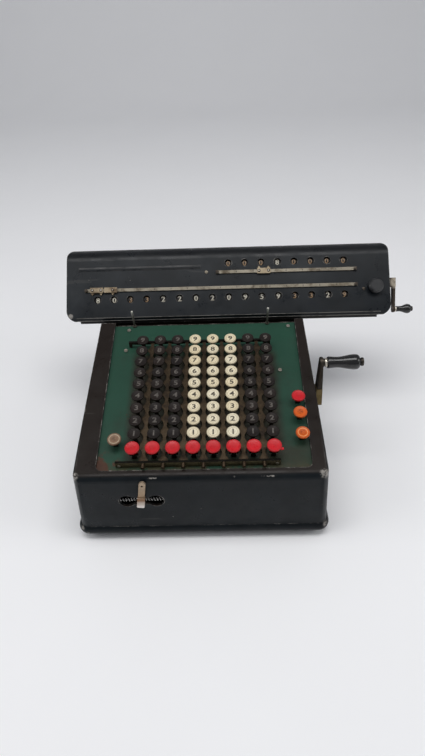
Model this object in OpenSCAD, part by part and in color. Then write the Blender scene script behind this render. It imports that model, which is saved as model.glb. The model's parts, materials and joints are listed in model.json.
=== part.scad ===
// Crank-driven calculating machine with a full keyboard and a sliding dial carriage.
// Millimetres. X to the right, Y to the back, Z up from the table, origin under the middle of the case.

/* [Keyboard] */
// Distance between key columns, and between dials on the carriage
column_pitch = 19.05; // [18:0.05:20]
// Distance between key rows along the sloping deck
row_pitch = 15; // [14:0.1:16]
// Diameter of a digit key's top
key_d = 12.7; // [11:0.1:13.5]
// Height of a key cap
key_cap_h = 2.5; // [2:0.1:3.5]
// Height of the digit keys' tops above the case's sloping top
key_rise = 14; // [13:0.5:16]
// How far a key goes down
key_travel = 4; // [2:0.5:4.5]
// Diameter of a column clearing key's top
clear_key_d = 14; // [12:0.1:14.5]
// Distance from the first digit row forward to the clearing keys
clear_key_ahead = 17.4; // [16.5:0.1:19]
// Height of the clearing keys above the digit keys
clear_key_lift = 2.6; // [1:0.1:4]
// Diameter of a function key's top
function_key_d = 13.6; // [11:0.1:14.5]
// Depth of the function keys' tops below the digit keys' tops
function_key_drop = 4; // [2:0.5:5]
// Width of a key stem
stem_w = 4; // [3:0.1:4.6]
// Thickness of a key stem
stem_t = 1.8; // [1.2:0.1:2.4]
// Clearance round a stem in its slots
stem_gap = 0.4; // [0.3:0.05:0.6]
// Thickness of the green keyboard plate
plate_t = 1.6; // [1:0.1:2.5]
// Depth from the case's sloping top to the top of the key guide plate
guide_depth = 18; // [16:0.5:19]
// Thickness of the key guide plate
guide_t = 1.5; // [1:0.1:2]

/* [Decimal markers] */
// Height of the marker strips' axes above the keyboard plate
marker_rise = 6.5; // [5.5:0.1:7]
// Width of a marker strip
marker_w = 8.6; // [7:0.1:9]
// Thickness of a marker strip
marker_t = 1.2; // [0.8:0.1:1.6]
// Radius of a marker's end journal
marker_pin_r = 0.9; // [0.8:0.05:1.1]
// Thickness of the bars that carry the markers
marker_bar_t = 2.4; // [2:0.1:3]
// Height of those bars above the markers' axes
marker_bar_over = 1.7; // [1.6:0.1:2.4]
// Distance from the clearing keys forward to the front marker bar
marker_bar_ahead = 9.5; // [9:0.5:10.5]

/* [Case] */
// Width of the case at the height of its deck's front edge
body_w = 241.6; // [238:0.2:250]
// Depth of the case at the height of its deck's front edge
body_d = 276; // [274:1:290]
// Height of the case's sloping top at the front face
front_h = 92.3; // [90:0.1:100]
// Slope of the keyboard deck in degrees
deck_slope = 12; // [11:0.5:13]
// Keyboard centre, to the right of the case's centre
keyboard_x = 3.4; // [2:0.1:4]
// Distance from the front face back to the first row of digit keys
row1_set_back = 38; // [37:0.5:41]
// Thickness of the case wall
wall = 2.5; // [2:0.1:3]
// Radius of the case's upright corners
corner_r = 9; // [8:0.5:12]
// Lean of the case's side walls in degrees, outward at the foot
wall_lean = 3.6; // [2:0.1:4]
// How far each side wall comes in from the front to the rear
rear_taper = 2.8; // [0:0.1:3.5]
// Radius of the case's front top edge
edge_r = 8; // [6:0.5:11]
// Radius of the case's side top edges
side_edge_r = 4; // [3.5:0.1:6]
// Distance from the front face to the end of the sloping deck
deck_end = 197; // [196:0.5:199]
// Height of the level platform under the carriage
platform_z = 122; // [120:0.5:123]
// Width of the keyboard opening
opening_w = 205.4; // [203:0.1:207]
// Distance from the first digit row forward to the opening's front edge
opening_front = 32.4; // [31.5:0.1:33]
// Radius of the opening's front corners
opening_r = 6; // [5:0.5:10]
// Radius of the rounded bead round the foot of the case
bead_r = 8; // [7:0.1:9]
// How far the bead stands out from the case wall
bead_out = 2.6; // [2:0.1:4]

/* [Base] */
// Height of the rubber feet
foot_h = 7.5; // [6:0.5:9]
// Radius of the rubber feet
foot_r = 9; // [7:0.5:11]
// Thickness of the base pan
base_t = 3; // [2:0.1:4]
// Clearance between the base pan and the case wall
pan_gap = 0.2; // [0.1:0.05:0.4]
// Thickness of the inner side frames
frame_t = 3; // [2:0.1:3.5]

/* [Shift lever] */
// Distance of the lever's slot from the keyboard centre, to the left
slot_left = 61.6; // [58:0.1:64]
// Height of the slot's centre line
slot_z = 59.6; // [58:0.1:61]
// Length of the slot
slot_l = 44.3; // [44:0.1:48]
// Radius of the slot's round ends
slot_end_r = 8; // [7.3:0.1:8.5]
// Height of the slot's middle
slot_mid_h = 9.6; // [9.5:0.1:11]
// Width of the lever strap
lever_w = 6.4; // [6:0.1:7]
// Thickness of the lever strap
lever_t = 2.5; // [2:0.1:2.8]
// Height of the lever's pivot
lever_pivot_z = 17; // [16:0.5:18]
// Height of the top of the lever
lever_top_z = 93; // [80:0.5:94]
// Lean of the lever at rest in degrees, to the right
lever_lean = 8.5; // [0:0.5:9]
// Radius of the lever's pivot pin
lever_pin_r = 2.5; // [2:0.1:3]
// Number of turns in the centring spring
spring_turns = 18; // [12:1:22]
// Radius of the centring spring to its wire's centre
spring_r = 2; // [1.6:0.1:2.2]
// Radius of the spring wire
spring_wire_r = 0.4; // [0.3:0.05:0.45]

/* [Carriage] */
// Distance from the front face to the carriage's front wall
carriage_front = 201.5; // [200.5:0.5:204]
// Height of the carriage cover's lower edge
carriage_bottom = 134; // [133:0.5:136]
// Height of the carriage's upright front edge
sill_h = 4.5; // [3:0.5:6]
// Slope of the carriage's face in degrees
face_slope = 44.5; // [43:0.5:46]
// Length of the flat part of the face
face_l = 67.3; // [66.5:0.1:70]
// Radius of the carriage's rounded top
top_r = 18; // [16:0.1:20]
// Radius of the carriage's end corners
end_r = 13; // [8:0.5:14]
// Thickness of the carriage cover
cover_t = 1.5; // [1:0.1:2]
// Distance from the first dial to the carriage's left end
left_margin = 36.3; // [34:0.1:40]
// Distance from the last dial to the carriage's right end
right_margin = 52; // [50:0.1:56]
// Places that the carriage stands to the right of the keyboard
carriage_place = 1; // [0:1:2]
// Distance up the face to the lower windows
lower_window_t = 21.3; // [20.5:0.1:22]
// Distance up the face to the lower decimal rail
lower_rail_t = 32.2; // [31.5:0.1:33]
// Distance up the face to the upper decimal rail
upper_rail_t = 50.5; // [49.5:0.1:51]
// Distance up the face to the upper windows
upper_window_t = 61.5; // [61:0.1:62]
// Diameter of a dial window
window_d = 8.5; // [7:0.1:9]
// Radius of a number dial
dial_r = 11.5; // [10:0.1:12]
// Width of a number dial
dial_w = 13; // [10:0.1:14]
// Clearance between a dial and the cover
dial_gap = 1; // [0.6:0.1:1.4]
// Radius of the dial shafts
dial_shaft_r = 3; // [2.5:0.1:3.5]
// Width of a decimal rail
rail_w = 3.6; // [3:0.1:4]
// Thickness of a decimal rail
rail_t = 1.6; // [1.2:0.1:2]
// Distance that the decimal rails run past the outer dials
rail_margin = 14.5; // [14:0.1:16]
// Length of a decimal pointer
pointer_l = 15; // [12:0.1:15.5]
// Thickness of a decimal pointer over its rail
pointer_t = 1; // [0.8:0.1:1.4]
// Diameter of the carriage knob
knob_d = 17; // [14:0.1:18]
// Height of the carriage knob
knob_h = 9; // [6:0.5:12]
// Distance from the last dial to the knob
knob_x = 34.5; // [33:0.1:36]
// Distance up the face to the knob
knob_t = 28.7; // [27:0.1:30]
// Width of the rails that the carriage runs on
track_w = 8; // [7:0.5:9]
// Height of the rails that the carriage runs on
track_h = 9.5; // [9:0.1:9.8]
// Width of the runners on the rails
runner_w = 14; // [13:0.5:14.5]
// Distance from the carriage's front wall to the front rail
front_track_set_back = 9; // [8.5:0.5:9.5]
// Distance from the carriage's front wall to the rear rail
rear_track_set_back = 57; // [56:0.5:58]

/* [Main crank] */
// Distance from the front face to the crank shaft
crank_set_back = 107; // [105:0.5:109]
// Height of the crank shaft above the front edge of the case's sloping top
crank_rise = 1.7; // [-0.3:0.1:2.7]
// Radius of the crank's turning circle
crank_r = 39.6; // [38:0.1:44]
// Lean of the crank arm at rest in degrees, to the back
crank_lean = 16; // [0:1:30]
// Radius of the crank and drum shafts
shaft_r = 4; // [3:0.1:4.5]
// Thickness of the crank arm at its handle
arm_t = 3.2; // [2.5:0.1:4]
// Gap between the case and the crank's hub
crank_gap = 0.3; // [0.2:0.1:2]
// Thickness of the crank's hub block
hub_t = 6.2; // [5:0.1:7]
// Length of the crank handle's grip
grip_l = 37.5; // [34:0.5:44]
// Largest diameter of the crank handle's grip
grip_d = 16.4; // [14:0.1:18]
// Number of teeth on the drive gear and the drum gear
gear_teeth = 24; // [20:2:28]
// Pitch radius of the drive gear and the drum gear
gear_r = 13.5; // [13:0.1:13.8]
// Direction of the drum shaft from the crank shaft in degrees below level
drum_below = 50; // [48:1:54]
// Outer radius of the stepped drums
drum_r = 15; // [14:0.1:15.5]
// Length of a stepped drum
drum_l = 13; // [11:0.1:14]

/* [Clearing crank] */
// Distance from the carriage's front wall to the clearing shaft
clear_set_back = 29; // [28.5:0.1:29.5]
// Height of the clearing shaft
clear_z = 158.5; // [158:0.1:159]
// Radius of the clearing crank's turning circle
clear_r = 30.5; // [28:0.1:32]
// Lean of the clearing crank's arm from straight down in degrees, to the front
clear_lean = 35; // [0:1:45]
// Length of the clearing handle's grip
clear_grip_l = 19; // [16:0.5:24]
// Largest diameter of the clearing handle's grip
clear_grip_d = 11; // [9:0.1:13]

/* [Hidden] */
$fn = 64;
columns = 8;
rows = 9;
lower_dial_count = 16;
upper_dial_count = 8;
// Clearances: a shaft in its bearing, a wheel fixed on its shaft, a slide on its rail
run_gap = 0.05;
seat_gap = 0.02;
slide_gap = 0.3;
plate_gap = 0.1;
cut = 1;

// Case
front_y = -body_d / 2;
rear_y = body_d / 2;
deck_sin = sin(deck_slope);
deck_cos = cos(deck_slope);
deck_tan = tan(deck_slope);
function deck_z(y) = front_h + (y - front_y) * deck_tan;
// How far the leaning side walls stand out at a height
function lean_out(z) = (front_h - z) * tan(wall_lean);
// Plan of the case: the centres of its corners at a height, front right first, and the arc of each corner
taper_turn = atan2(rear_taper, body_d - 2 * corner_r);
corner_turns = [[-90, taper_turn], [taper_turn, 90], [90, 180 - taper_turn], [180 - taper_turn, 270]];
corner_steps = 10;
function corner_centres(z) =
  let (x = body_w / 2 - corner_r + lean_out(z), y = body_d / 2 - corner_r)
  [[x, -y], [x - rear_taper, y], [rear_taper - x, y], [-x, -y]];
function plan_points(z, inset) =
  [for (k = [0:3])
    each arc(corner_centres(z)[k], corner_r - inset, corner_turns[k][0], corner_turns[k][1], corner_steps)];
row1_y = front_y + row1_set_back;
row1_z = front_h + (row1_set_back + key_rise * deck_sin) * deck_tan + key_rise * deck_cos;
plate_top = -key_rise - wall;
plate_margin = 1.2;
// Rear ends of the opening, past the deck, and of the plate, at the step's inner face
opening_back = (deck_end - row1_set_back) / deck_cos + 2 * opening_r;
plate_back = (deck_end - wall - plate_gap - row1_set_back + plate_top * deck_sin) / deck_cos;
guide_top = -key_rise - guide_depth;
inner_x = body_w / 2 - wall;
right_frame_inset = 11;
right_frame_x = inner_x - right_frame_inset;
stem_reach = key_rise + guide_depth + guide_t + key_travel + 0.5;
pan_top = foot_h + base_t;

// Keys
function column_x(i) = (i - (columns - 1) / 2) * column_pitch;
function row_y(j) = j * row_pitch;
function_key_inset = 7.2;
frame_key_gap = 1;
tan_key_inset = 16.7;
function_key_x = min(opening_w / 2 - function_key_inset,
  right_frame_x - keyboard_x - stem_w / 2 - frame_key_gap);
tan_key_x = tan_key_inset - opening_w / 2;
// Each single key: place on the deck, diameter and height of its top
red_key_at = [function_key_x, 43.7];
rear_orange_key_at = [function_key_x, 24];
front_orange_key_at = [function_key_x, 0];
tan_key_at = [tan_key_x, -3.4];
function_keys_at = [red_key_at, rear_orange_key_at, front_orange_key_at, tan_key_at];
red = [0.85, 0.15, 0.18];
orange = [0.92, 0.47, 0.18];

// Decimal markers
marker_z = plate_top + marker_rise;
marker_front_y = -clear_key_ahead - marker_bar_ahead;
marker_back_y = row_y(rows - 1) + 4.5;
marker_bar_half = columns / 2 * column_pitch + 2;
marker_bar_left = 5.5;
marker_foot_l = 3;
marker_neck = 1.6;
marker_knob_l = 5;

// Guide posts and screws on the keyboard plate, set in from the opening's sides
post_r = 1.1;
post_h = 25;
post_foot_h = 2;
post_u = 155.5;
post_left_inset = 22.1;
post_right_inset = 31.1;
posts_x = [post_left_inset - opening_w / 2, opening_w / 2 - post_right_inset];
screw_r = 2;
screw_h = 1.4;
screw_slot_w = 0.6;
screws_left = [[15.2, 118.5], [16.2, 149]];
screws_right = [[7.7, 150]];
last_column_screw = 14.3;
last_column_screw_u = 86;

// Inner frame
left_frame_inset = 11.5;
frame_front_inset = 24;
frame_step_inset = 6;
frame_rear_inset = 12;
left_frame_x = left_frame_inset - inner_x;
frame_front_y = front_y + frame_front_inset;
frame_step_y = front_y + deck_end - frame_step_inset;
frame_rear_y = rear_y - frame_rear_inset;
tie_rod_r = 3;
tie_rod_inset = 10;
tie_rod_low_z = 26;
tie_rod_drop = 30;
tie_rods_at = [
  [frame_front_y + tie_rod_inset, tie_rod_low_z],
  [frame_rear_y - tie_rod_inset, tie_rod_low_z],
  [frame_rear_y - tie_rod_inset, platform_z - tie_rod_drop]];
foot_inset_x = 22;
foot_inset_y = 24;

// Shift lever
slot_x = keyboard_x - slot_left;
lever_pivot_left = 6.6;
lever_x = slot_x - lever_pivot_left;
lever_stand_off = 5;
lever_set_in = 10.5;
lever_neck_w = 5;
lever_neck_above = 2.4;
lever_strap_drop = 6;
lever_foot_l = 15;
lever_foot_spare = 0.5;
lever_foot_r = 1.4;
lever_step = 0.6;
lever_hole_r = 1.1;
lever_hole_drop = 5.5;
lever_outer_y = front_y - lever_stand_off;
lever_inner_y = front_y + lever_set_in;
lever_neck_z = slot_z + lever_neck_above;
lever_neck_h = 2;
lever_pin_spare = 1.5;
lug_gap = 0.5;
lug_t = 4;
spring_z = slot_z - 3.1;
spring_y = front_y + wall + spring_r + spring_wire_r + slide_gap;
spring_l = slot_l + 6;
spring_sides = 6;
spring_rings = 8;
spring_pitch = spring_l / spring_turns;
spring_count = spring_turns * spring_rings;

// Carriage
car_y = front_y + carriage_front;
face_sin = sin(face_slope);
face_cos = cos(face_slope);
foot_z = carriage_bottom + sill_h;
dial_1_x = keyboard_x + (carriage_place - (lower_dial_count - 1) / 2) * column_pitch;
dial_last_x = dial_1_x + (lower_dial_count - 1) * column_pitch;
upper_first = lower_dial_count - upper_dial_count;
car_left = dial_1_x - left_margin;
car_right = dial_last_x + right_margin;
car_l = car_right - car_left;
top_y = car_y + face_l * face_cos + top_r * face_sin;
top_z = foot_z + face_l * face_sin - top_r * face_cos;
car_back = top_y + top_r;
dial_depth = cover_t + dial_gap + dial_r;
end_plate_t = 4;
end_plate_set = end_r + 2;
track_front_y = car_y + front_track_set_back;
track_rear_y = car_y + rear_track_set_back;
track_half = inner_x - 4;
track_top = platform_z + track_h;
runner_lip = 2;
runner_bottom = track_top - runner_lip;
runner_top = carriage_bottom + 0.5;
rail_screw_r = 1.9;
rail_screw_h = 0.9;
pointer_gap = 0.3;
pointer_prong = 3.2;
pointer_step = pointer_l + 1.2;
lower_pointer_x = -0.6;
upper_pointer_x = 10.15 * column_pitch;

// Main crank
crank_y = front_y + crank_set_back;
crank_z = front_h + crank_rise;
crank_hub_x = body_w / 2 + crank_gap;
arm_face_x = crank_hub_x + hub_t;
hub_below = 6;
hub_above = 12;
arm_inset = 0.6;
hub_half_w = 7.5;
arm_top_r = 6;
pin_r = 2.5;
collar_l = 1.5;
grip_gap = 0.3;
gear_w = 4;
gear_x = right_frame_x + frame_t + 0.6;
drum_y = crank_y + 2 * gear_r * cos(drum_below);
drum_z = crank_z - 2 * gear_r * sin(drum_below);
// Half width of the ear that carries the crank shaft, and its place on the deck
ear = shaft_r + 5;
ear_u = (crank_y - row1_y + guide_top * deck_sin) / deck_cos;

// Clearing crank
clear_y = car_y + clear_set_back;
clear_shaft_r = 2.6;
clear_hub_x = car_right + 0.6;
clear_hub_t = 6.4;
clear_arm_t = 3;
clear_pin_r = 1.6;

// Places children on the sloping deck: origin at the middle of the first row's key tops
module on_deck() {
  translate([keyboard_x, row1_y, row1_z]) rotate([deck_slope, 0, 0]) children();
}

// Places children on the carriage's face: origin at the first dial, y up the face, z outward
module on_face() {
  translate([dial_1_x, car_y, foot_z]) rotate([face_slope, 0, 0]) children();
}

// Places a flat outline drawn in Y and Z, and gives it a thickness along X
module along_x(from, to) {
  translate([from, 0, 0]) rotate([90, 0, 90]) linear_extrude(to - from) children();
}

// A rod along X
module rod_x(from, to, r, y, z) {
  translate([from, y, z]) rotate([0, 90, 0]) cylinder(h = to - from, r = r);
}

// Points of an arc
function arc(centre, r, from, to, steps) =
  [for (k = [0:steps]) let (a = from + (to - from) * k / steps) centre + r * [cos(a), sin(a)]];

module rounded_rect(w, d, r) {
  square([w - 2 * r, d], center = true);
  square([w, d - 2 * r], center = true);
  for (x = [-1, 1], y = [-1, 1])
    translate([x * (w / 2 - r), y * (d / 2 - r)]) circle(r);
}

// Case, set in from its outer surface: 0 gives the outside and wall gives the hollow

module case_side_outline(inset) {
  bottom = inset > 0 ? foot_h - cut : foot_h;
  yc = front_y + edge_r;
  zc = deck_z(yc) - edge_r / deck_cos;
  end_y = front_y + deck_end - inset;
  end_z = deck_z(end_y) - inset / deck_cos;
  beyond = 2 * rear_y;
  polygon(concat(
    [[front_y + inset, bottom]],
    arc([yc, zc], edge_r - inset, 180, 90 + deck_slope, 12),
    [[end_y, end_z], [end_y, platform_z - inset], [beyond, platform_z - inset], [beyond, bottom]]));
}

module case_cross_outline(inset) {
  spare = 0.3;
  half = body_w / 2 + spare - inset;
  r = side_edge_r - inset;
  top = -key_rise - inset;
  deep = 2 * body_d;
  beyond = half + 2 * corner_r;
  translate([-beyond, top - r - deep]) square([2 * beyond, deep]);
  translate([-half + r, top - r - cut]) square([2 * (half - r), r + cut]);
  for (side = [-1, 1])
    translate([side * (half - r), top - r]) circle(r);
}

// The four walls with their round corners; the side walls lean
module case_block(inset) {
  low = inset > 0 ? foot_h - cut : foot_h;
  high = deck_z(front_y + deck_end) + cut;
  n = 4 * (corner_steps + 1);
  polyhedron(
    points = [for (z = [low, high]) each [for (p = plan_points(z, inset)) [p[0], p[1], z]]],
    faces = concat(
      [for (i = [1:n - 2]) [0, i, i + 1]],
      [for (i = [1:n - 2]) [n, n + i + 1, n + i]],
      [for (i = [0:n - 1]) let (j = (i + 1) % n) each [[i, n + i, n + j], [i, n + j, j]]]));
}

module case_form(inset) {
  intersection() {
    case_block(inset);
    along_x(-body_w, body_w) case_side_outline(inset);
    translate([0, row1_y, row1_z])
      rotate([deck_slope, 0, 0])
        translate([0, 2 * body_d, 0])
          rotate([90, 0, 0])
            linear_extrude(4 * body_d) case_cross_outline(inset);
  }
}

// Bead outline: x is the distance out from a corner's centre and y is the height
bead_z = foot_h + 0.75 * bead_r;
module bead_outline() {
  inner = -wall / 2;
  bead_x = bead_out - bead_r;
  reach = acos((inner - bead_x) / bead_r);
  translate([corner_r, bead_z]) polygon(arc([bead_x, 0], bead_r, -reach, reach, 16));
}

// One straight run along each wall and one turn round each corner
module case_bead() {
  centres = corner_centres(bead_z);
  for (k = [0:3]) {
    turn = corner_turns[k];
    before = centres[(k + 3) % 4];
    translate(centres[k]) rotate([0, 0, turn[0]]) {
      rotate_extrude(angle = turn[1] - turn[0]) bead_outline();
      rotate([90, 0, 0]) linear_extrude(norm(centres[k] - before)) bead_outline();
    }
  }
}

module opening_outline(margin) {
  depth = opening_front + opening_back;
  translate([0, (opening_back - opening_front) / 2])
    rounded_rect(opening_w + 2 * margin, depth + 2 * margin, opening_r + margin);
}

module lever_slot() {
  translate([slot_x, front_y - bead_r, slot_z]) rotate([-90, 0, 0]) {
    for (side = [-1, 1])
      translate([side * (slot_l / 2 - slot_end_r), 0, 0]) cylinder(h = bead_r + 2 * wall, r = slot_end_r);
    translate([-slot_l / 2 + slot_end_r, -slot_mid_h / 2, 0])
      cube([slot_l - 2 * slot_end_r, slot_mid_h, bead_r + 2 * wall]);
  }
}

module case_shell() color([0.14, 0.15, 0.16]) {
  difference() {
    union() {
      case_form(0);
      case_bead();
    }
    case_form(wall);
    on_deck() translate([0, 0, plate_top - plate_t - seat_gap]) linear_extrude(4 * wall) opening_outline(0);
    lever_slot();
    rod_x(0, body_w, shaft_r + run_gap, crank_y, crank_z);
  }
}

module base_pan() color([0.2, 0.2, 0.2]) {
  lug_y = lever_inner_y + lever_t + lug_gap;
  lug_half = lever_pin_r + 5;
  translate([0, 0, foot_h])
    linear_extrude(base_t)
      polygon(plan_points(pan_top, wall + pan_gap));
  difference() {
    translate([lever_x - lug_half, lug_y, foot_h])
      cube([2 * lug_half, lug_t, lever_pivot_z - foot_h + lever_pin_r + 4]);
    translate([lever_x, lug_y - cut, lever_pivot_z])
      rotate([-90, 0, 0]) cylinder(h = lug_t + 2 * cut, r = lever_pin_r + run_gap);
  }
}

module rubber_feet() color([0.08, 0.08, 0.08]) {
  for (x = [-1, 1], y = [-1, 1])
    translate([x * (body_w / 2 - foot_inset_x), y * (body_d / 2 - foot_inset_y), 0])
      rotate_extrude() polygon([[0, 0], [foot_r, 0], [foot_r - 1.5, foot_h], [0, foot_h]]);
}

// Keyboard plates, with a slot for each stem

module stem_slot(at, z, h) {
  w = stem_w + 2 * stem_gap;
  t = stem_t + 2 * stem_gap;
  translate([at[0] - w / 2, at[1] - t / 2, z]) cube([w, t, h]);
}

module all_stem_slots(z, h) {
  for (i = [0:columns - 1]) {
    for (j = [0:rows - 1]) stem_slot([column_x(i), row_y(j)], z, h);
    stem_slot([column_x(i), -clear_key_ahead], z, h);
  }
  for (at = function_keys_at) stem_slot(at, z, h);
}

module keyboard_plate() color([0.12, 0.3, 0.21]) {
  on_deck() difference() {
    translate([0, 0, plate_top - plate_t]) linear_extrude(plate_t) intersection() {
      opening_outline(plate_margin);
      translate([-opening_w, plate_back - 2 * opening_back]) square([2 * opening_w, 2 * opening_back]);
    }
    all_stem_slots(plate_top - plate_t - cut, plate_t + 2 * cut);
  }
}

module key_guide_plate() color([0.5, 0.5, 0.48]) {
  left = left_frame_x - keyboard_x;
  right = right_frame_x + frame_t - keyboard_x;
  front = -opening_front + 6;
  back = row_y(rows - 1) + 14;
  on_deck() difference() {
    translate([left, front, guide_top - guide_t]) cube([right - left, back - front, guide_t]);
    all_stem_slots(guide_top - guide_t - cut, guide_t + 2 * cut);
    translate([right - frame_t - 3, ear_u - ear - 1, guide_top - guide_t - cut])
      cube([frame_t + 3 + cut, 2 * (ear + 1), guide_t + 2 * cut]);
  }
}

// Keys: a dished cap on a flat stem that ends below the guide plate

module key(at, d, top) {
  rim = 0.8;
  dish = 0.5;
  translate([at[0], at[1], top - key_cap_h])
    rotate_extrude() polygon([
      [0, 0], [d / 2 - 1, 0], [d / 2, 1], [d / 2, key_cap_h - rim], [d / 2 - rim, key_cap_h],
      [d / 2 - 2 * rim, key_cap_h - dish], [0, key_cap_h - dish]]);
  translate([at[0] - stem_w / 2, at[1] - stem_t / 2, -stem_reach])
    cube([stem_w, stem_t, stem_reach + top - key_cap_h]);
}

module digit_keys(i) color(i >= 3 && i <= 5 ? [0.92, 0.88, 0.78] : [0.22, 0.2, 0.2]) {
  on_deck() for (j = [0:rows - 1]) key([column_x(i), row_y(j)], key_d, 0);
}

module clear_key(i) color(red) {
  on_deck() key([column_x(i), -clear_key_ahead], clear_key_d, clear_key_lift);
}

module function_key(at, tint) color(tint) {
  on_deck() key(at, function_key_d, -function_key_drop);
}

// Decimal markers: flat strips between the columns that turn in two bars, the rear one thin and on two feet

module marker_bars() color([0.24, 0.2, 0.12])
  on_deck() for (y = [marker_front_y, marker_back_y])
    difference() {
      translate([-marker_bar_half - marker_bar_left, y - marker_bar_t / 2, plate_top])
        cube([2 * marker_bar_half, marker_bar_t, marker_rise + marker_bar_over]);
      for (i = [0:columns - 2])
        translate([column_x(i) + column_pitch / 2, y - marker_bar_t, marker_z])
          rotate([-90, 0, 0]) cylinder(h = 2 * marker_bar_t, r = marker_pin_r + run_gap);
      if (y == marker_back_y)
        translate([marker_foot_l - marker_bar_half - marker_bar_left, y - marker_bar_t, plate_top - cut])
          cube([2 * (marker_bar_half - marker_foot_l), 2 * marker_bar_t,
            marker_rise - marker_bar_over + cut]);
    }

module decimal_marker(i) color([0.35, 0.27, 0.16]) {
  front = marker_front_y + marker_bar_t / 2 + slide_gap;
  back = marker_back_y - marker_bar_t / 2 - slide_gap;
  pin_front = marker_front_y - marker_bar_t / 2 - marker_knob_l;
  pin_back = marker_back_y + marker_bar_t / 2;
  scallop_x = column_pitch / 2;
  scallop_r = scallop_x - marker_neck;
  on_deck() translate([column_x(i) + column_pitch / 2, 0, marker_z]) {
    difference() {
      translate([-marker_w / 2, front, -marker_t / 2]) cube([marker_w, back - front, marker_t]);
      for (y = concat([-clear_key_ahead], [for (j = [0:rows - 1]) row_y(j)]), side = [-1, 1])
        translate([side * scallop_x, y, -marker_t]) cylinder(h = 2 * marker_t, r = scallop_r);
    }
    translate([0, pin_front, 0]) rotate([-90, 0, 0]) cylinder(h = front - pin_front, r = marker_pin_r);
    translate([0, back, 0]) rotate([-90, 0, 0]) cylinder(h = pin_back - back, r = marker_pin_r);
    translate([0, pin_front, 0])
      rotate([-90, 0, 0]) cylinder(h = marker_knob_l - slide_gap, r = marker_pin_r + 1);
  }
}

// Inner frame

module side_frame_outline(has_ear) {
  guide_under = key_rise + guide_top - guide_t - seat_gap;
  function under_guide(y) = deck_z(y) + guide_under / deck_cos;
  ear_points = !has_ear ? [] : [
    [crank_y - ear, under_guide(crank_y - ear)], [crank_y - ear, crank_z + ear / 2],
    [crank_y - ear / 2, crank_z + ear], [crank_y + ear / 2, crank_z + ear],
    [crank_y + ear, crank_z + ear / 2], [crank_y + ear, under_guide(crank_y + ear)]];
  difference() {
    polygon(concat(
      [[frame_front_y, pan_top], [frame_front_y, under_guide(frame_front_y)]], ear_points,
      [[frame_step_y, under_guide(frame_step_y)], [frame_step_y, platform_z - wall],
       [frame_rear_y, platform_z - wall], [frame_rear_y, pan_top]]));
    translate([drum_y, drum_z]) circle(shaft_r + run_gap);
  }
}

module side_frames() color([0.45, 0.45, 0.45]) {
  along_x(left_frame_x, left_frame_x + frame_t) side_frame_outline(false);
  difference() {
    along_x(right_frame_x, right_frame_x + frame_t) side_frame_outline(true);
    rod_x(right_frame_x - cut, right_frame_x + frame_t + cut, shaft_r + run_gap, crank_y, crank_z);
  }
}

module frame_tie_rods() color([0.6, 0.6, 0.6]) {
  for (at = tie_rods_at) rod_x(left_frame_x + frame_t, right_frame_x, tie_rod_r, at[0], at[1]);
}

module carriage_tracks() color([0.55, 0.55, 0.53]) {
  for (y = [track_front_y, track_rear_y])
    translate([-track_half, y - track_w / 2, platform_z]) cube([2 * track_half, track_w, track_h]);
}

module guide_posts() color([0.7, 0.68, 0.62]) {
  on_deck() for (x = posts_x) translate([x, post_u, plate_top]) {
    cylinder(h = post_h, r = post_r);
    cylinder(h = post_foot_h, r = 2 * post_r);
  }
}

// Slotted screws seen on the keyboard plate
module case_screws() color([0.62, 0.58, 0.5]) {
  screws_at = concat(
    [for (at = screws_left) [at[0] - opening_w / 2, at[1]]],
    [for (at = screws_right) [opening_w / 2 - at[0], at[1]]],
    [[column_x(columns - 1) + last_column_screw, last_column_screw_u]]);
  on_deck() for (at = screws_at) translate([at[0], at[1], plate_top]) difference() {
    cylinder(h = screw_h, r = screw_r);
    translate([-screw_r, -screw_slot_w / 2, screw_h / 2]) cube([2 * screw_r, screw_slot_w, screw_h]);
  }
}

// Gear outline with straight-sided teeth: their size follows from the pitch radius
module gear_outline(teeth, pitch_r, first_tooth) {
  size = 2 * pitch_r / teeth;
  step = 360 / teeth;
  backlash = 0.3;
  pressure_angle = 20;
  half_w = (PI * size / 2 - backlash) / 2;
  tip = 0.9 * size;
  root = -1.2 * size;
  flank = tan(pressure_angle);
  function tooth_point(i, rise, side) =
    let (a = first_tooth + i * step, half = side * (half_w - rise * flank), r = pitch_r + rise)
    [r * cos(a) - half * sin(a), r * sin(a) + half * cos(a)];
  polygon([
    for (i = [0:teeth - 1])
      each [
        tooth_point(i, root, -1), tooth_point(i, tip, -1),
        tooth_point(i, tip, 1), tooth_point(i, root, 1)]]);
}

// Main crank, its gears and the stepped drums

module crank_shaft() color([0.6, 0.6, 0.58]) {
  rod_x(right_frame_x - 2, arm_face_x, shaft_r, crank_y, crank_z);
}

module drive_gear() color([0.62, 0.5, 0.25]) {
  along_x(gear_x, gear_x + gear_w) translate([crank_y, crank_z]) difference() {
    gear_outline(gear_teeth, gear_r, -drum_below);
    circle(shaft_r + seat_gap);
  }
}

module drum_gear() color([0.62, 0.5, 0.25]) {
  along_x(gear_x, gear_x + gear_w) translate([drum_y, drum_z]) difference() {
    gear_outline(gear_teeth, gear_r, 180 - drum_below + 180 / gear_teeth);
    circle(shaft_r + seat_gap);
  }
}

module drum_shaft() color([0.6, 0.6, 0.58]) {
  rod_x(left_frame_x - 2, gear_x + gear_w + 0.5, shaft_r, drum_y, drum_z);
}

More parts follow.
